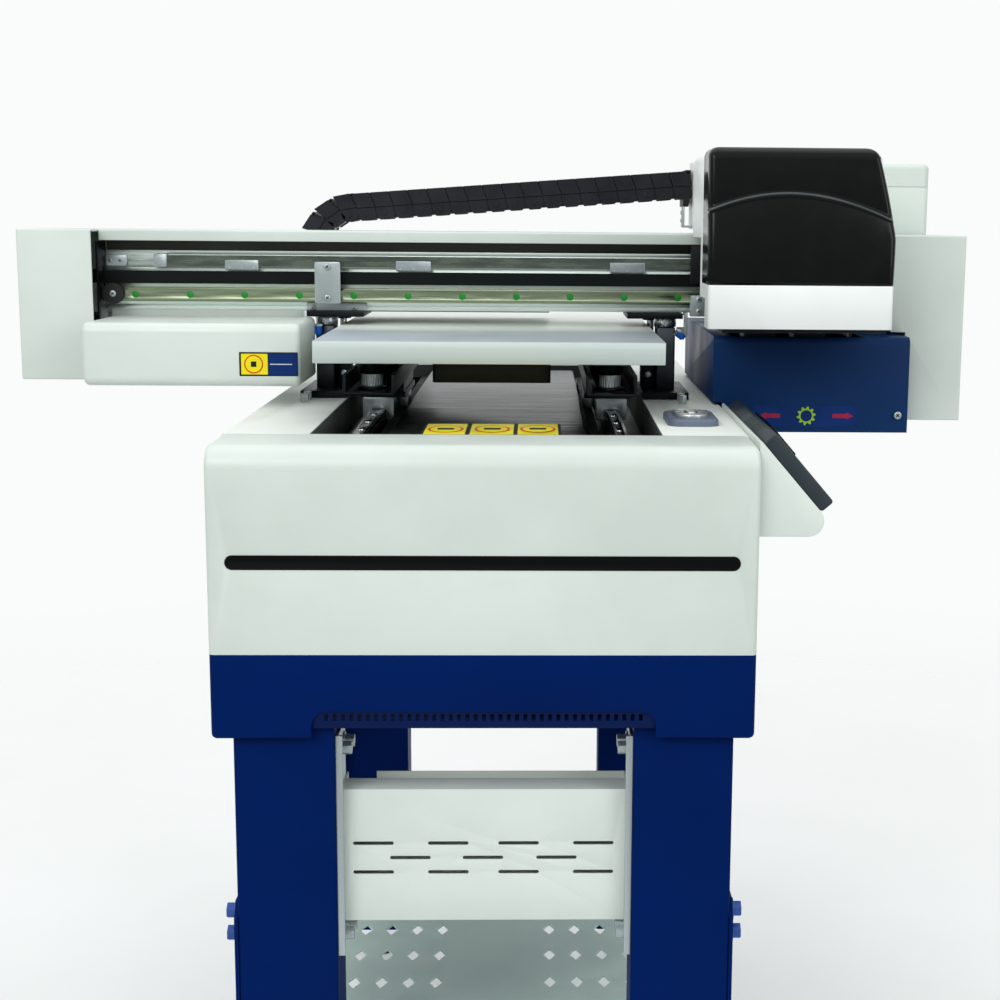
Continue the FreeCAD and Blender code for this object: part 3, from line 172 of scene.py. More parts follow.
def plastic(name, rgb, rough=0.5, grain=0.00008, scale=1500, shine=0.35, coat=0.0):
    """Moulded plastic with a fine spark grain."""
    look = Look(name)
    look.colour(look.mix(look.spread(look.noise(22, 4), 0, 1), shade(rgb, 0.92), shade(rgb, 1.06)))
    look.link(look.spread(look.noise(40, 5), rough - 0.06, rough + 0.06), look.shader.inputs["Roughness"])
    look.bump(look.noise(scale, 2), grain)
    look.set(Specular_IOR_Level=shine, Coat_Weight=coat, Coat_Roughness=0.06)
    return look.material


def metal(name, rgb, rough=0.3, along=None, vary=0.12, bump=0.00003, part=1.0):
    """Bare metal: brushed along one axis, or softly mottled plating."""
    look = Look(name)
    if along is None:
        fine = look.noise(900, 2)
    else:
        scale = [900.0, 900.0, 900.0]
        scale["xyz".index(along)] = 9.0
        fine = look.noise(1.0, 4, look.stretched(scale), 0.7)
    wide = look.noise(9, 3)
    mixed = look.add("Mix", data_type="FLOAT")
    mixed.inputs[0].default_value = 0.35
    look.link(fine, mixed.inputs[2])
    look.link(wide, mixed.inputs[3])
    look.colour(look.mix(look.spread(mixed.outputs[0], 0, 1), shade(rgb, 1 - vary), shade(rgb, 1 + vary / 2)))
    look.link(look.spread(fine, rough - 0.08, rough + 0.1), look.shader.inputs["Roughness"])
    look.bump(fine, bump)
    look.set(Metallic=part)
    return look.material


TABLE_TOP_Z = 0.940
TABLE_PAINTED_LIGHT_Y = (-0.13, -0.06)    # where the top's painted reflection gives way to painted light, paler towards the back


def table_top():
    """Table: pale metal sides, and a top with painted light: a grey-blue painted reflection at the front that gives
    way to a paler painted light towards the back.
    """
    look = Look("table_top")
    split = look.add("SeparateXYZ")
    look.link(look.coords, split.inputs[0])
    upward = look.spread(split.outputs["Z"], 0, 1, TABLE_TOP_Z - 0.0008, TABLE_TOP_Z - 0.0003)
    far = look.spread(split.outputs["Y"], 0, 1, *TABLE_PAINTED_LIGHT_Y)
    cloud = look.spread(look.noise(7, 5), 0, 1)
    grain = look.spread(look.noise(1, 3, look.stretched((2, 2, 260))), 0, 1)
    side = look.mix(grain, (192, 204, 202), (199, 211, 208))
    # painted reflection: the grey-blue front of the top stands in for the dark hall and the carriage's underside
    # mirrored in it; painted light: the pale far part stands in for light from behind under the beam
    painted_reflection_near_top = look.mix(cloud, (160, 171, 181), (176, 185, 192))
    painted_light_far_top = look.mix(cloud, (240, 246, 236), (246, 250, 241))
    look.colour(look.mix(upward, side, look.mix(far, painted_reflection_near_top, painted_light_far_top)))
    look.link(look.spread(upward, 0.42, 0.34, 0, 1), look.shader.inputs["Roughness"])
    look.bump(look.noise(900, 3), 0.00003)
    look.set(Metallic=0.15)
    return look.material


def encoder_film():
    """Graduated strip: dark green-grey film with fine vertical lines."""
    look = Look("encoder_film")
    wave = look.add("TexWave", wave_type="BANDS", bands_direction="X")
    wave.inputs["Scale"].default_value = math.pi / 10 / 0.0011
    look.link(look.coords, wave.inputs["Vector"])
    cloudy = look.noise(30, 3, look.stretched((1, 1, 6)))
    base = look.mix(look.spread(cloudy, 0, 1), (86, 97, 88), (112, 122, 110))
    look.colour(look.mix(look.spread(wave.outputs["Fac"], 0, 0.3, 0.4, 0.6), base, (60, 68, 62)))
    look.link(look.spread(cloudy, 0.18, 0.3), look.shader.inputs["Roughness"])
    look.set(Metallic=0.6)
    return look.material


def floor_look():
    """Pale floor that gives way to the backdrop further out."""
    look = Look("floor")
    look.colour(look.mix(look.spread(look.noise(3, 4), 0, 1), (238, 241, 240), (243, 245, 245)))
    look.link(look.spread(look.noise(8, 3), 0.7, 0.85), look.shader.inputs["Roughness"])
    length = look.add("VectorMath", operation="LENGTH")
    look.link(look.coords, length.inputs[0])
    far = look.spread(length.outputs["Value"], 0.2, 1, 0.7, 2.8)
    clear = look.add("BsdfTransparent")
    blend = look.add("MixShader")
    look.link(far, blend.inputs[0])
    look.link(look.shader.outputs[0], blend.inputs[1])
    look.link(clear.outputs[0], blend.inputs[2])
    out = next(n for n in look.tree.nodes if n.type == "OUTPUT_MATERIAL")
    look.link(blend.outputs[0], out.inputs[0])
    return look.material


BACKDROP = (250, 252, 251)

M = {
    "white": paint("white_paint", (210, 220, 213), 0.4),
    "deck": paint("deck_paint", (222, 227, 221), 0.42),
    "housing": paint("housing_paint", (236, 241, 239), 0.4),
    "pan": paint("pan_paint", (58, 62, 60), 0.5),
    "navy": paint("navy_powder_coat", (0, 28, 86), 0.45, 0.0001, 0.08, 0.03),
    "station": paint("blue_cover_paint", (18, 48, 92), 0.4, 0.00006, 0.07, 0.06),
    "bolt_blue": paint("blue_bolt_paint", (30, 74, 150), 0.4, 0.0001, 0.1),
    "tray": paint("tray_paint", (214, 223, 217), 0.45, 0.00006, 0.04),
    "shelf": paint("shelf_paint", (198, 222, 213), 0.5, 0.00008, 0.08),
    "hood": plastic("gloss_black_hood", (3, 5, 5), 0.2, 0.000008, 60, 0.22),
    # painted highlight: the bead's lighter grey stands in for the thin line of light along the hood's arch
    "hood_bead_highlight": plastic("hood_bead_highlight", (74, 82, 84), 0.3, 0.000008, 60),
    "black": plastic("black_plastic", (20, 23, 25), 0.45, shine=0.25),
    "chain": plastic("chain_nylon", (15, 19, 27), 0.32, 0.00004, 900, 0.35),
    "lens": plastic("strip_lens", (5, 6, 7), 0.16, 0.000006, 60, 0.14),
    "post": metal("post_metal", (66, 72, 76), 0.42, "z", 0.1),
    "panel": plastic("control_panel_plastic", (40, 51, 56), 0.36, 0.00006, 900, 0.35),
    "label_bar": plastic("label_bar", (196, 200, 210), 0.4, 0.00001, 90),
    "slate": plastic("slate_plastic", (92, 104, 120), 0.42),
    "silver": metal("silver_key", (206, 210, 208), 0.3, None, 0.04, 0.000004, 0.8),
    "sensor": plastic("sensor_blue", (16, 96, 200), 0.3),
    "green": plastic("rail_plug_green", (20, 128, 36), 0.35),
    "yellow": plastic("label_yellow", (228, 216, 10), 0.35, 0.00001, 90),
    "label_navy": plastic("label_navy", (16, 46, 104), 0.35, 0.00001, 90, 0.1),
    "label_red": plastic("label_crimson", (150, 16, 62), 0.35, 0.00001, 90),
    "ring_red": plastic("ring_red", (206, 52, 30), 0.35, 0.00001, 90),
    "label_lime": plastic("label_lime", (146, 192, 20), 0.35, 0.00001, 90),
    "amber": plastic("bottle_dark", (34, 36, 40), 0.25, 0.00001, 90),
    "rubber": plastic("rubber", (26, 27, 28), 0.7),
    "board": plastic("circuit_board", (18, 74, 46), 0.35),
    "black_metal": metal("black_oxide", (34, 37, 40), 0.42, None, 0.06),
    "beam": metal("beam_aluminium", (230, 243, 236), 0.36, "x", 0.06),
    "rail": metal("rail_steel", (142, 154, 128), 0.3, "x", 0.06, 0.000008),
    "y_rail": metal("rail_steel_y", (186, 190, 190), 0.22, "y"),
    "plate": metal("brushed_plate", (50, 62, 62), 0.3, "x", 0.1, 0.00001),
    "zinc": metal("zinc_plate", (178, 188, 190), 0.36, None, 0.03, 0.000004, 0.7),
    "steel": metal("turned_steel", (196, 200, 202), 0.24, "z"),
    "belt": plastic("belt_rubber", (12, 17, 17), 0.6, 0.00004, 900, 0.12),
    "table": table_top(),
    "film": encoder_film(),
    # painted shade: a dark olive finish for the recess in the beam
    "spacer_recess_shade": paint("beam_recess_painted_shade", (50, 50, 40), 0.5),
    # painted shade: a darker navy for the apron's recess and the sheet behind it
    "recess_shade": paint("apron_recess_painted_shade", (0, 22, 70), 0.5, 0.0001, 0.08, 0.1),
}


# ------------------------------------------------------------------ building

def put(name, mesh, body, slot, materials, smooth=True):
    """Makes a piece from a mesh and lets it ride on a body."""
    piece = bpy.data.objects.new(name, mesh)
    bpy.context.scene.collection.objects.link(piece)
    for key in materials:
        mesh.materials.append(M[key])
    for polygon in mesh.polygons:
        polygon.use_smooth = smooth
    if body:
        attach(piece, body)
    return piece


def soften(piece, width, angle=38, segments=2):
    """Rounds the sharp edges a little, with clean shading."""
    bevel = piece.modifiers.new("edges", "BEVEL")
    bevel.width = width
    bevel.segments = segments
    bevel.limit_method = "ANGLE"
    bevel.angle_limit = math.radians(angle)
    bevel.harden_normals = True
    bevel.miter_outer = "MITER_ARC"
    return piece


def corners(faces):
    """The box that some faces fill."""
    points = [v.co for face in faces for v in face.verts]
    return [Vector([pick(p[i] for p in points) for i in range(3)]) for pick in (min, max)]


def islands(bm):
    """Groups of joined faces, each with the box it fills."""
    seen = set()
    for first in bm.faces:
        if first in seen:
            continue
        group = []
        todo = [first]
        seen.add(first)
        while todo:
            face = todo.pop()
            group.append(face)
            for edge in face.edges:
                for other in edge.link_faces:
                    if other not in seen:
                        seen.add(other)
                        todo.append(other)
        yield group, *corners(group)


def face_boxes(bm):
    """Each face alone, with the box it fills."""
    for face in bm.faces:
        yield [face], *corners([face])


def refine(node, looks, width=0.0005, choose=None, merge=True, each_face=False):
    """Stands in for a CAD node: the same shape with rounded edges and a finish for each solid, or for each face."""
    source = NODES[node]
    bm = bmesh.new()
    bm.from_mesh(source.data)
    bmesh.ops.remove_doubles(bm, verts=bm.verts, dist=WELD)
    if merge:
        bmesh.ops.dissolve_limit(bm, angle_limit=FLAT_ANGLE, verts=bm.verts, edges=bm.edges)
    if choose:
        for faces, low, high in face_boxes(bm) if each_face else islands(bm):
            index = looks.index(choose(low, high))
            for face in faces:
                face.material_index = index
    mesh = bpy.data.meshes.new(node + "_finished")
    bm.to_mesh(mesh)
    bm.free()
    piece = put(node + "_finished", mesh, source["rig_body"], SLOT_OF[node], looks)
    if width:
        soften(piece, width)
    else:
        mesh.set_sharp_from_angle(angle=SHARP_ANGLE)
    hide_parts(node)
    return piece


def size_rule(small, large, limit):
    """The small finish for islands whose longest side is under the limit."""
    return lambda low, high: small if max(high - low) < limit else large


def extrude_outline(bm, points, base, u, v, normal, thick, material=0):
    """A flat outline in the u, v plane, given thickness along normal."""
    base, u, v, normal = Vector(base), Vector(u), Vector(v), Vector(normal)
    near = [bm.verts.new(base + u * a + v * b) for a, b in points]
    far = [bm.verts.new(base + u * a + v * b + normal * thick) for a, b in points]
    faces = [bm.faces.new(near[::-1]), bm.faces.new(far)]
    for i in range(len(points)):
        j = (i + 1) % len(points)
        faces.append(bm.faces.new((near[i], near[j], far[j], far[i])))
    for face in faces:
        face.material_index = material


def disc_points(radius, steps=24, turn=0.0):
    return [(radius * math.cos(turn + 2 * math.pi * k / steps), radius * math.sin(turn + 2 * math.pi * k / steps))
            for k in range(steps)]


def moved(points, x, y):
    return [(a + x, b + y) for a, b in points]


def mesh_of(bm, name):
    bmesh.ops.recalc_face_normals(bm, faces=bm.faces)
    mesh = bpy.data.meshes.new(name)
    bm.to_mesh(mesh)
    bm.free()
    return mesh


# ------------------------------------------------------------------ CAD nodes with finished edges

def apron_look(low, high):
    """The recessed strip and the sheet behind it are painted darker than the frame: painted shade in the recess."""
    return "recess_shade" if high.x - low.x < 0.4 else "navy"


def carriage_look(low, high):
    # a wide, low island (the base plate) is black metal; its black also stands in for the shade in the gap under the
    # carriage, a painted shade
    if high.x - low.x > 0.1:
        return "beam" if high.z - low.z > 0.03 else "black_metal"
    if high.x < 0.235:
        return "black" if low.z > 0.98 and low.y < 0 else "zinc"
    return "black_metal"


def fitting_look(low, high):
    size = high - low
    if size.x < 0.003 and size.z > 0.05:
        return "black_metal"
    if size.x < 0.035 and abs(size.x - size.z) < 0.001 and size.x > 0.02:
        return "rubber"
    return "zinc"


def post_look(low, high):
    size = high - low
    if size.z > 0.06:
        return "post"
    return "zinc" if max(size) < 0.02 else "black_metal"


def guide_look(low, high):
    size = high - low
    if size.z > 0.1:
        return "steel"
    return "black_metal" if size.x > 0.04 else "zinc"


def ink_look(low, high):
    size = high - low
    if size.x > 0.2:
        return "white"
    if size.z > 0.08 and size.x < 0.05:
        return "amber"
    return "zinc"


def station_look(low, high):
    size = high - low
    if size.x > 0.2:
        return "station"
    return "zinc" if low.z > 0.93 or max(size) < 0.012 else "black"


refine("stand_frame", ["navy"], 0.0012)
refine("apron", ["navy", "recess_shade"], 0.0008, apron_look, merge=False)
refine("leg_brackets", ["zinc"], 0.0006)
refine("slotted_tray", ["tray"], 0.0005)
refine("lower_shelf", ["shelf"], 0, merge=False)
refine("levelling_feet", ["rubber"], 0.0008)
refine("stand_bolts", ["zinc", "bolt_blue"], 0.0006,
       lambda low, high: "bolt_blue" if max(abs(low.x), abs(high.x)) > 0.2 else "zinc")
refine("cabinet_body", ["deck"], 0.0007)
refine("front_cover", ["white"], 0.0007)
refine("front_strip", ["lens"], 0.0003)
refine("tray_pan", ["pan"], 0.0004)
refine("y_rails", ["y_rail"], 0.0003)
refine("centre_cover", ["plate"], 0.0006)
refine("y_belts", ["belt"], 0)
refine("drive_motors", ["black_metal"], 0.0008)
refine("electronics", ["zinc", "board"], 0.0006, lambda low, high: "board" if high.z - low.z < 0.003 else "zinc")
refine("power_inlet", ["black"], 0.0003)
refine("power_rocker", ["black"], 0.0006)
refine("keypad_housing", ["slate"], 0)
refine("key_ring", ["silver"], 0)
refine("key_centre", ["silver"], 0)
refine("panel_bracket", ["white"], 0.0008)
refine("control_panel", ["panel", "lens"], 0.0012, size_rule("lens", "panel", 0.2))
refine("posts", ["post", "black_metal", "zinc"], 0.0006, post_look)
refine("lift_guides", ["steel", "black_metal", "zinc"], 0.0005, guide_look)
refine("bed_table", ["table"], 0.0008)
refine("bed_channels", ["black_metal", "zinc"], 0.0005, size_rule("zinc", "black_metal", 0.1))
refine("bed_carriage", ["black_metal", "zinc"], 0.0006, size_rule("zinc", "black_metal", 0.06))
refine("bed_fan", ["black"], 0.0006)
refine("fan_rotor", ["black"], 0.0003)
# islands of the beam that reach above 1.021 m get the dark finish: painted shade in the beam's recess
refine("beam", ["beam", "spacer_recess_shade", "zinc"], 0.0004,
       lambda low, high: "zinc" if low.z < 0.952 else ("beam" if high.z < 1.021 else "spacer_recess_shade"))
refine("x_rail", ["rail", "green"], 0.0002, size_rule("green", "rail", 0.009), each_face=True)
refine("x_belt", ["belt"], 0)
refine("x_motor", ["black_metal"], 0.0008)
refine("encoder_strip", ["film"], 0)
refine("beam_fittings", ["zinc", "black_metal", "rubber"], 0.0003, fitting_look)
refine("beam_covers", ["white"], 0.0006)
refine("left_cover", ["white", "zinc"], 0, size_rule("zinc", "white", 0.02), merge=False)
refine("station_box", ["station", "black", "zinc"], 0.0007, station_look)
refine("cap_carrier", ["black"], 0.0004)
refine("ink_box", ["white", "amber", "zinc"], 0.0006, ink_look)
refine("ink_lid", ["white"], 0, merge=False)
refine("carriage_frame", ["beam", "black_metal", "black", "zinc"], 0.0004, carriage_look)
refine("print_heads", ["black"], 0.0004)
refine("uv_lamp", ["black"], 0.0003)
refine("carriage_housing", ["housing"], 0.0007)
for part in ("lift_screw_left", "lift_screw_right"):
    refine(part, ["steel"], 0.0003)
for part in ("x_drive_pulley", "x_idler_pulley", "y_drive_shaft", "y_idler_shaft"):
    refine(part, ["zinc"], 0.0003)
for place in ("front_left", "front_right", "rear_left", "rear_right"):
    refine("levelling_nut_" + place, ["zinc"], 0.0002)


# ------------------------------------------------------------------ carriage hood

HOOD_X = (0.216, 0.401)
HOOD_Z = (0.9945, 1.130)
HOOD_FRONT = -0.227
HOOD_BACK = -0.160
HOOD_LEAN = 0.0065
HOOD_SWELL = 0.0022               # how far the upper field leans back by its top
HOOD_CORNER = 0.009
HOOD_EDGE = 0.004
HOOD_WALL = 0.0022
TAPER_Z = 1.040                   # above this the right side leans in
BEAD = 0.0011
CROWN = 0.013


def hood_sides(z):
    """Left and right edge of the hood's front at a height, with its round top corners."""
    left = HOOD_X[0]
    right = HOOD_X[1] + 0.0015 * min(1, (z - HOOD_Z[0]) / 0.045)
    if z > TAPER_Z:
        right -= 0.0195 * ((z - TAPER_Z) / 0.090) ** 1.25
    over = z - (HOOD_Z[1] - HOOD_CORNER)
    if over > 0:
        inset = HOOD_CORNER - math.sqrt(max(0, HOOD_CORNER ** 2 - over ** 2))
        left += inset
        right -= inset
    return left, right


def hood_arc(t):
    """Height of the arched bead across the hood's front."""
    return 1.085 - 0.0859 * (t - 0.4447) ** 2


def hood_profile(arc):
    """Heights and depths up the hood's front: a lower field that leans back, a bead, and a crowned top."""
    lower, bead, upper, roll = 20, 8, 14, 10
    points = []
    for k in range(lower + 1):
        part = k / lower
        points.append((HOOD_Z[0] + (arc - BEAD - HOOD_Z[0]) * part, HOOD_FRONT + HOOD_LEAN * part ** 2.4, 0))
    shoulder = HOOD_FRONT + HOOD_LEAN
    # the bead's points take the lighter material, a painted highlight; its round shape also catches real light
    for k in range(1, bead + 1):
        turn = math.pi * k / bead
        points.append((arc - BEAD * math.cos(turn), shoulder - BEAD * math.sin(turn), 1))
    top = HOOD_Z[1] - CROWN
    for k in range(1, upper + 1):
        part = k / upper
        points.append((arc + BEAD + (top - arc - BEAD) * part, shoulder + HOOD_SWELL * part ** 2, 0))
    for k in range(1, roll + 1):
        turn = math.pi / 2 * k / roll
        points.append((top + CROWN * math.sin(turn), shoulder + HOOD_SWELL + CROWN * (1 - math.cos(turn)), 0))
    return points


def carriage_hood():
    """Gloss hood with an arched bead across its front, the bead in a lighter grey as a painted highlight, round edges
    and a hollow back.
    """
    columns = 72
    profiles = [hood_profile(hood_arc(i / columns)) for i in range(columns + 1)]
    bm = bmesh.new()
    rows = []
    for k in range(len(profiles[0])):
        row = []
        for i, profile in enumerate(profiles):
            z, y, _ = profile[k]
            left, right = hood_sides(z)
            t = i / columns
            edge = min(t, 1 - t) * (right - left)
            if edge < HOOD_EDGE:
                y += HOOD_EDGE * (1 - math.sqrt(max(0, 1 - (1 - edge / HOOD_EDGE) ** 2)))
            row.append(bm.verts.new((left + t * (right - left), y, z)))
        rows.append(row)
    for k, (low, high) in enumerate(zip(rows, rows[1:])):
        for i in range(columns):
            face = bm.faces.new((low[i], low[i + 1], high[i + 1], high[i]))
            face.material_index = profiles[0][k + 1][2]
    rim = [row[0] for row in rows] + rows[-1][1:-1] + [row[-1] for row in rows[::-1]]
    back = [bm.verts.new((v.co.x, HOOD_BACK, v.co.z)) for v in rim]
    for i in range(len(rim) - 1):
        bm.faces.new((rim[i], rim[i + 1], back[i + 1], back[i]))
    mesh = mesh_of(bm, "carriage_hood")
    piece = put("carriage_hood", mesh, "carriage", SLOT_OF["carriage_cover"], ["hood", "hood_bead_highlight"])
    wall = piece.modifiers.new("wall", "SOLIDIFY")
    wall.thickness = HOOD_WALL
    wall.offset = -1
    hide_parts("carriage_cover")


carriage_hood()


# ------------------------------------------------------------------ cable chain

CHAIN_Y = (0.062, 0.110)
CHAIN_H = 0.032
CHAIN_PITCH = 0.0212
LOOP = (-0.165, 1.069)            # X and Z where the upper run meets the bend
CHAIN_END = (0.223, 1.098)        # X and Z where the upper run meets the carriage
CHAIN_FIXED_X = 0.020             # where the lower run is tied to the beam
CHAIN_R = 0.050
BEND_LINKS = 8


def chain_link(bm, place, along, pitch):
    """One link: slanted upper plates, set-back lower lugs with a pin, a lid and a floor over an inner core."""
    along = Vector(along).normalized()
    up = Vector((-along.z, 0, along.x))
    half = CHAIN_H / 2
    origin = Vector(place)
    core = pitch * 0.52
    reach = pitch / 2 - 0.0004
    slant = 0.0036
    for low, high, depth in ((-half + 0.003, half - 0.003, 0.0028), (half - 0.0024, half - 0.0004, 0.001),
                             (-half + 0.0014, -half + 0.0032, 0.002)):
        block = [(-core, low), (core, low), (core, high), (-core, high)]
        extrude_outline(bm, block, origin + Vector((0, CHAIN_Y[0] + depth, 0)), along, up, (0, 1, 0),
                        CHAIN_Y[1] - CHAIN_Y[0] - 2 * depth)
    plate = [(-reach + 0.0016, -0.0010), (reach + 0.0016, -0.0010), (reach - slant, half), (-reach - slant, half)]
    lug = [(-reach + 0.0006, -0.0014), (-reach + 0.0024, -half + 0.0050), (-reach + 0.0060, -half),
           (reach - 0.0020, -half), (reach + 0.0030, -half + 0.0050), (reach + 0.0008, -0.0014)]
    pin = moved(disc_points(0.0034, 12), 0.0010, -half * 0.5)
    for y, way in ((CHAIN_Y[0], 1), (CHAIN_Y[1], -1)):
        for shape, depth in ((plate, 0.0), (lug, 0.0013), (pin, 0.0006)):
            extrude_outline(bm, shape, origin + Vector((0, y + way * depth, 0)), along, up, (0, way, 0), 0.003)


def straight_chain(bm, start, end):
    """Links along a straight run in the X, Z plane."""
    start, end = Vector(start), Vector(end)
    count = round((end - start).length / CHAIN_PITCH)
    for k in range(count):
        place = start.lerp(end, (k + 0.5) / count)
        chain_link(bm, (place.x, 0, place.z), end - start, (end - start).length / count)


def cable_chain():
    bm = bmesh.new()
    straight_chain(bm, (LOOP[0], 0, LOOP[1]), (CHAIN_END[0], 0, CHAIN_END[1]))
    upper = put("chain_upper_links", mesh_of(bm, "chain_upper_links"), None, SLOT_OF["chain_upper"], ["chain"], False)
    bm = bmesh.new()
    straight_chain(bm, (LOOP[0], 0, LOOP[1] - 2 * CHAIN_R), (CHAIN_FIXED_X, 0, LOOP[1] - 2 * CHAIN_R))
    lower = put("chain_lower_links", mesh_of(bm, "chain_lower_links"), None, SLOT_OF["chain_lower"], ["chain"], False)
    bm = bmesh.new()
    for k in range(BEND_LINKS):
        turn = math.pi / 2 + math.pi * (k + 0.5) / BEND_LINKS
        place = (LOOP[0] + CHAIN_R * math.cos(turn), 0, LOOP[1] - CHAIN_R + CHAIN_R * math.sin(turn))
        chain_link(bm, place, (math.sin(turn), 0, -math.cos(turn)), math.pi * CHAIN_R / BEND_LINKS)
    loop = put("chain_loop_links", mesh_of(bm, "chain_loop_links"), "chain_bend", SLOT_OF["chain_loop"],
               ["chain"], False)
    for piece, node in ((upper, "chain_upper"), (lower, "chain_lower"), (loop, "chain_loop")):
        soften(piece, 0.0003, segments=1)
        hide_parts(node)
    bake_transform(upper)
    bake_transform(lower)


cable_chain()


# ------------------------------------------------------------------ small details

def screw(bm, centre, normal, radius, height=0.0012, slot=1):
    """A domed screw head with a cross recess."""
    normal = Vector(normal)
    side = normal.orthogonal().normalized()
    other = normal.cross(side)
    base = Vector(centre)
    rings = ((1.0, 0.0), (1.0, 0.35), (0.9, 0.75), (0.62, 0.97), (0.45, 1.0))
    loops = []
    for share, lift in rings:
        loops.append([bm.verts.new(base + side * a + other * b + normal * height * lift)
                      for a, b in disc_points(radius * share, 20)])
    for low, high in zip(loops, loops[1:]):
        for i in range(20):
            bm.faces.new((low[i], low[(i + 1) % 20], high[(i + 1) % 20], high[i]))
    bm.faces.new(loops[-1])
    width, length = radius * 0.13, radius * 0.55
    for a, b in ((width, length), (length, width)):
        bar = [(-a, -b), (a, -b), (a, b), (-a, b)]
        extrude_outline(bm, bar, base + normal * height * 0.9, side, other, normal, height * 0.14, slot)


def screws(name, body, slot, places, normal, radius):
    bm = bmesh.new()
    for place in places:
        screw(bm, place, normal, radius)
    put(name, mesh_of(bm, name), body, slot, ["zinc", "black"])


def label(name, body, slot, shapes, base, u, v, normal, materials, thick=0.00012):
    """Flat stacked shapes, the later ones on top."""
    bm = bmesh.new()
    for level, (points, material) in enumerate(shapes):
        lifted = Vector(base) + Vector(normal) * (level * thick)
        extrude_outline(bm, points, lifted, u, v, normal, thick, materials.index(material))
    put(name, mesh_of(bm, name), body, slot, materials, False)


PLATE_TOP = 0.8581


def rectangle(x0, z0, x1, z1, corner=0.0006):
    points = []
    for cx, cz, start in ((x1 - corner, z1 - corner, 0), (x0 + corner, z1 - corner, 90),
                          (x0 + corner, z0 + corner, 180), (x1 - corner, z0 + corner, 270)):
        for k in range(4):
            turn = math.radians(start + 30 * k)
            points.append((cx + corner * math.cos(turn), cz + corner * math.sin(turn)))
    return points


def gear(cx, cz, radius, teeth):
    points = []
    for k in range(teeth * 4):
        turn = 2 * math.pi * (k + 0.5) / (teeth * 4)
        reach = radius if k % 4 < 2 else radius * 0.76
        points.append((cx + reach * math.cos(turn), cz + reach * math.sin(turn)))
    return points


def arrow(cx, cz, length, height, way):
    half = length / 2
    points = [(-half, 0), (-half + height, height / 2), (-half + height, height * 0.3), (half, height * 0.3),
              (half, -height * 0.3), (-half + height, -height * 0.3), (-half + height, -height / 2)]
    return [(cx + way * a, cz + b) for a, b in (points if way > 0 else points[::-1])]


def control_label():
    """Wordless adjuster label on the blue box: two arrows that point outwards and a toothed ring."""
    middle = (0.3370, 0.8500)
    shapes = [(rectangle(0.2790, 0.8382, 0.3924, 0.8611, 0.001), "label_navy"),
              (arrow(0.2972, middle[1], 0.0228, 0.0076, 1), "label_red"),
              (arrow(0.3768, middle[1], 0.0228, 0.0076, -1), "label_red"),
              (gear(*middle, 0.0102, 10), "label_lime"),
              (moved(disc_points(0.0062, 24), *middle), "label_navy")]
    label("adjuster_label", "gantry", SLOT_OF["station_box"], shapes, (0, -0.1091, 0), (1, 0, 0), (0, 0, 1),
          (0, -1, 0), ["label_navy", "label_red", "label_lime"])


def cover_sticker():
    """Sticker with no words: a yellow square with a red ring and a dot, and a dark field with a pale bar."""
    ring = (-0.2490, 0.9060)
    shapes = [(rectangle(-0.2640, 0.8935, -0.2030, 0.9185), "black"),
              (rectangle(-0.2620, 0.8952, -0.2345, 0.9168), "yellow"),
              (rectangle(-0.2335, 0.8948, -0.2040, 0.9172), "label_navy"),
              (moved(disc_points(0.0098, 32), *ring), "ring_red"),
              (moved(disc_points(0.0085, 32), *ring), "yellow"),
              (moved(disc_points(0.0040, 4, math.pi / 4), *ring), "black"),
              (rectangle(-0.2320, 0.9055, -0.2090, 0.9065, 0.0003), "label_bar")]
    label("cover_sticker", "gantry", SLOT_OF["left_cover"], shapes, (0, -0.1471, 0), (1, 0, 0), (0, 0, 1),
          (0, -1, 0), ["label_navy", "yellow", "black", "ring_red", "label_bar"])


def plate_stickers():
    """Three yellow stickers with no words on the steel plate, and a finger disc at each front corner."""
    y = (-0.335, -0.255)
    tiles = ((-0.0605, -0.0215), (-0.0170, 0.0240), (0.0280, 0.0665))
    ellipse = [(a * 1.1, b * 1.6) for a, b in disc_points(0.0155, 32)]
    shapes = [(rectangle(-0.0635, y[0] - 0.002, 0.0695, y[1] + 0.002), "black")]
    for x0, x1 in tiles:
        shapes.append((rectangle(x0, y[0], x1, y[1]), "yellow"))
    for x0, x1 in tiles:
        middle = ((x0 + x1) / 2, (y[0] + y[1]) / 2)
        shapes.append((moved(ellipse, *middle), "ring_red"))
        shapes.append((moved([(a * 0.86, b * 0.9) for a, b in ellipse], *middle), "yellow"))
        shapes.append((moved(rectangle(-0.008, -0.006, 0.008, 0.006), *middle), "black"))
    label("plate_stickers", "root", SLOT_OF["centre_cover"], shapes, (0, 0, PLATE_TOP), (1, 0, 0), (0, 1, 0),
          (0, 0, 1), ["yellow", "black", "ring_red"], 0.00008)
    bm = bmesh.new()
    for side in (-1, 1):
        for radius, base, thick in ((0.0105, 0.0, 0.0009), (0.0090, 0.0009, 0.0004)):
            extrude_outline(bm, disc_points(radius, 32), (side * 0.080, -0.339, PLATE_TOP + base), (1, 0, 0),
                            (0, 1, 0), (0, 0, 1), thick)
    put("plate_discs", mesh_of(bm, "plate_discs"), "root", SLOT_OF["centre_cover"], ["plate"], False)


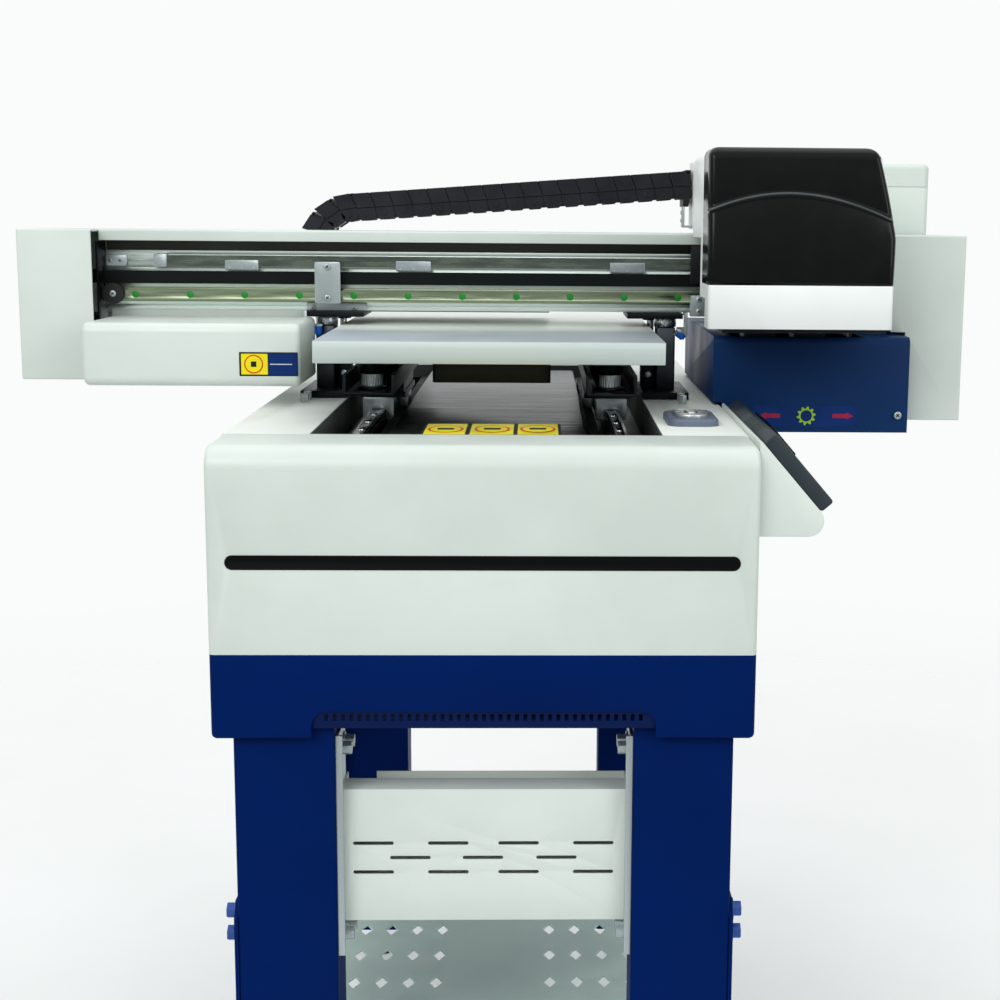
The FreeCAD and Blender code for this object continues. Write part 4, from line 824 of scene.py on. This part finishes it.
control_label()
cover_sticker()
plate_stickers()
screws("stop_screws", "gantry", SLOT_OF["beam_fittings"], [(-0.185, -0.042, z) for z in (0.970, 1.004)],
       (0, -1, 0), 0.0036)
screws("angle_screws", "gantry", SLOT_OF["beam_fittings"], [(x, -0.0228, 0.958) for x in (-0.204, -0.158)],
       (0, -1, 0), 0.0027)
screws("hook_screws", "gantry", SLOT_OF["beam_fittings"], [(x, -0.0230, 1.009) for x in (-0.426, -0.415)],
       (0, -1, 0), 0.0022)
screws("bumper_screw", "gantry", SLOT_OF["beam_fittings"], [(-0.420, -0.0410, 0.973)], (0, -1, 0), 0.0036)
screws("station_screw", "gantry", SLOT_OF["station_box"], [(0.436, -0.1108, 0.851)], (0, -1, 0), 0.0042)
screws("clamp_screws", "carriage", SLOT_OF["carriage_frame"], [(0.2235, -0.060, z) for z in (0.9585, 0.9715)],
       (0, -1, 0), 0.0034)
screws("arm_screws", "carriage", SLOT_OF["carriage_frame"], [(0.2140, 0.0685, z) for z in (1.057, 1.066)],
       (-1, 0, 0), 0.0025)


def chain_bracket():
    """Black foot that ties the chain's last link to the steel arm."""
    bm = bmesh.new()
    outline = [(0.2150, 1.0730), (0.2215, 1.0730), (0.2235, 1.0850), (0.2235, 1.1150), (0.2170, 1.1150),
               (0.2150, 1.1000)]
    extrude_outline(bm, outline, (0, CHAIN_Y[0] + 0.001, 0), (1, 0, 0), (0, 0, 1), (0, 1, 0), 0.046)
    soften(put("chain_bracket", mesh_of(bm, "chain_bracket"), "carriage", SLOT_OF["chain_upper"], ["black"]), 0.0006)


chain_bracket()


def sensor_barrels():
    """Two blue barrel sensors with a nut and a short lead end, beside the posts."""
    bm = bmesh.new()
    stages = ((0.0056, 0.0, 0.0022, 1), (0.0046, 0.0022, 0.0085, 0), (0.0030, 0.0107, 0.002, 0))
    for start, axis in (((-0.1975, -0.0300, 0.9405), (0, 0, -1)), ((0.2015, -0.0235, 0.9345), (0.8, 0, -0.6))):
        start, axis = Vector(start), Vector(axis)
        across = Vector((0, 1, 0))
        for radius, offset, length, material in stages:
            points = disc_points(radius, 6 if material else 24)
            extrude_outline(bm, points, start + axis * offset, across, axis.cross(across), axis, length, material)
    put("sensor_barrels", mesh_of(bm, "sensor_barrels"), "gantry", SLOT_OF["beam_fittings"], ["sensor", "zinc"], False)


sensor_barrels()


def bracket_liner():
    """Closing sheet on the panel bracket's open side, flush with the cabinet's wall."""
    bm = bmesh.new()
    extrude_outline(bm, rectangle(-0.4236, 0.7830, -0.1264, 0.8632, 0.001), (0.2437, 0, 0), (0, 1, 0), (0, 0, 1),
                    (1, 0, 0), 0.0014)
    soften(put("bracket_liner", mesh_of(bm, "bracket_liner"), "root", SLOT_OF["panel_bracket"], ["white"]), 0.0004)


bracket_liner()


def ring_gaps():
    """Four dark gaps that split the oval key's silver ring into arrow segments."""
    bm = bmesh.new()
    middle = Vector((0.1985, -0.2470, 0.8707))
    for way_x, way_y in ((1, 1), (1, -1), (-1, 1), (-1, -1)):
        along = Vector((0.8 * way_x, 0.6 * way_y, 0))
        across = Vector((-along.y, along.x, 0))
        bar = [(0.0110, -0.0013), (0.0210, -0.0013), (0.0210, 0.0013), (0.0110, 0.0013)]
        extrude_outline(bm, bar, middle - Vector((0, 0, 0.0010)), along, across, (0, 0, 1), 0.0011)
    put("ring_gaps", mesh_of(bm, "ring_gaps"), "ring_key", SLOT_OF["key_ring"], ["slate"], False)


ring_gaps()


# ------------------------------------------------------------------ floor, light and camera

def studio_floor():
    bm = bmesh.new()
    bmesh.ops.create_circle(bm, cap_ends=True, segments=96, radius=40)
    mesh = mesh_of(bm, "studio_floor")
    mesh.materials.append(floor_look())
    floor = bpy.data.objects.new("studio_floor", mesh)
    bpy.context.scene.collection.objects.link(floor)
    floor.location = (0, 0, -0.0005)


def area_light(name, place, target, size, power, colour=(1, 1, 1)):
    data = bpy.data.lights.new(name, "AREA")
    data.shape = "RECTANGLE"
    data.size, data.size_y = size
    data.energy = power
    data.color = colour
    light = bpy.data.objects.new(name, data)
    bpy.context.scene.collection.objects.link(light)
    light.location = place
    light.rotation_euler = (Vector(target) - Vector(place)).to_track_quat("-Z", "Y").to_euler()


ROOM_LOW = 0.42                   # the room's strength at the horizon
ROOM_HIGH = 1.0                   # overhead
ROOM_BACK = 0.95                  # behind the object


def room_light(world):
    """A pale backdrop for the camera, and for light a soft room, bright overhead and behind, dim all round."""
    world.use_nodes = True
    graph = Graph(world.node_tree)
    out = graph.add("OutputWorld")
    backdrop = graph.add("Background")
    backdrop.inputs["Color"].default_value = linear(BACKDROP)
    room = graph.add("Background")
    room.inputs["Color"].default_value = linear((250, 252, 252))
    split = graph.add("SeparateXYZ")
    graph.link(graph.add("TexCoord").outputs["Generated"], split.inputs[0])
    level = graph.add("Math", operation="MAXIMUM")
    graph.link(graph.spread(split.outputs["Z"], ROOM_LOW, ROOM_HIGH, 0.0, 0.75), level.inputs[0])
    graph.link(graph.spread(split.outputs["Y"], ROOM_LOW, ROOM_BACK, 0.2, 0.8), level.inputs[1])
    graph.link(level.outputs[0], room.inputs["Strength"])
    blend = graph.add("MixShader")
    graph.link(graph.add("LightPath").outputs["Is Camera Ray"], blend.inputs[0])
    graph.link(room.outputs[0], blend.inputs[1])
    graph.link(backdrop.outputs[0], blend.inputs[2])
    graph.link(blend.outputs[0], out.inputs[0])


def studio():
    scene = bpy.context.scene
    scene.view_settings.view_transform = "Standard"
    scene.world = bpy.data.worlds.new("studio")
    room_light(scene.world)
    studio_floor()
    area_light("key", (-1.5, -3.0, 2.6), (0, -0.2, 0.8), (2.2, 1.6), 48)
    area_light("fill", (2.4, -2.6, 1.9), (0, 0, 0.8), (1.6, 1.6), 22)
    area_light("top", (0.0, 0.2, 3.4), (0, 0, 0.9), (2.4, 1.8), 10)


def camera_axes(yaw, pitch, roll):
    """Columns of the camera's rotation: right, up and back."""
    forward = Vector((math.sin(yaw) * math.cos(pitch), math.cos(yaw) * math.cos(pitch), -math.sin(pitch)))
    right = Vector((math.cos(yaw), -math.sin(yaw), 0))
    up = right.cross(forward)
    turned_right = math.cos(roll) * right + math.sin(roll) * up
    turned_up = math.cos(roll) * up - math.sin(roll) * right
    return Matrix((turned_right, turned_up, -forward)).transposed()


EYE = (0.04676, -1.8192, 1.0602)
YAW, PITCH, ROLL = 0.02705, 0.15684, 0.00824
LENS = 57.6
SHIFT = (-0.080, -0.030)


def camera():
    data = bpy.data.cameras.new("camera")
    data.sensor_width = 36.0
    data.lens = LENS
    data.shift_x, data.shift_y = SHIFT
    data.clip_start = 0.05
    data.clip_end = 200
    eye = bpy.data.objects.new("camera", data)
    bpy.context.scene.collection.objects.link(eye)
    eye.rotation_mode = "QUATERNION"
    eye.rotation_quaternion = camera_axes(YAW, PITCH, ROLL).to_quaternion()
    eye.location = EYE
    bpy.context.scene.camera = eye


studio()
camera()
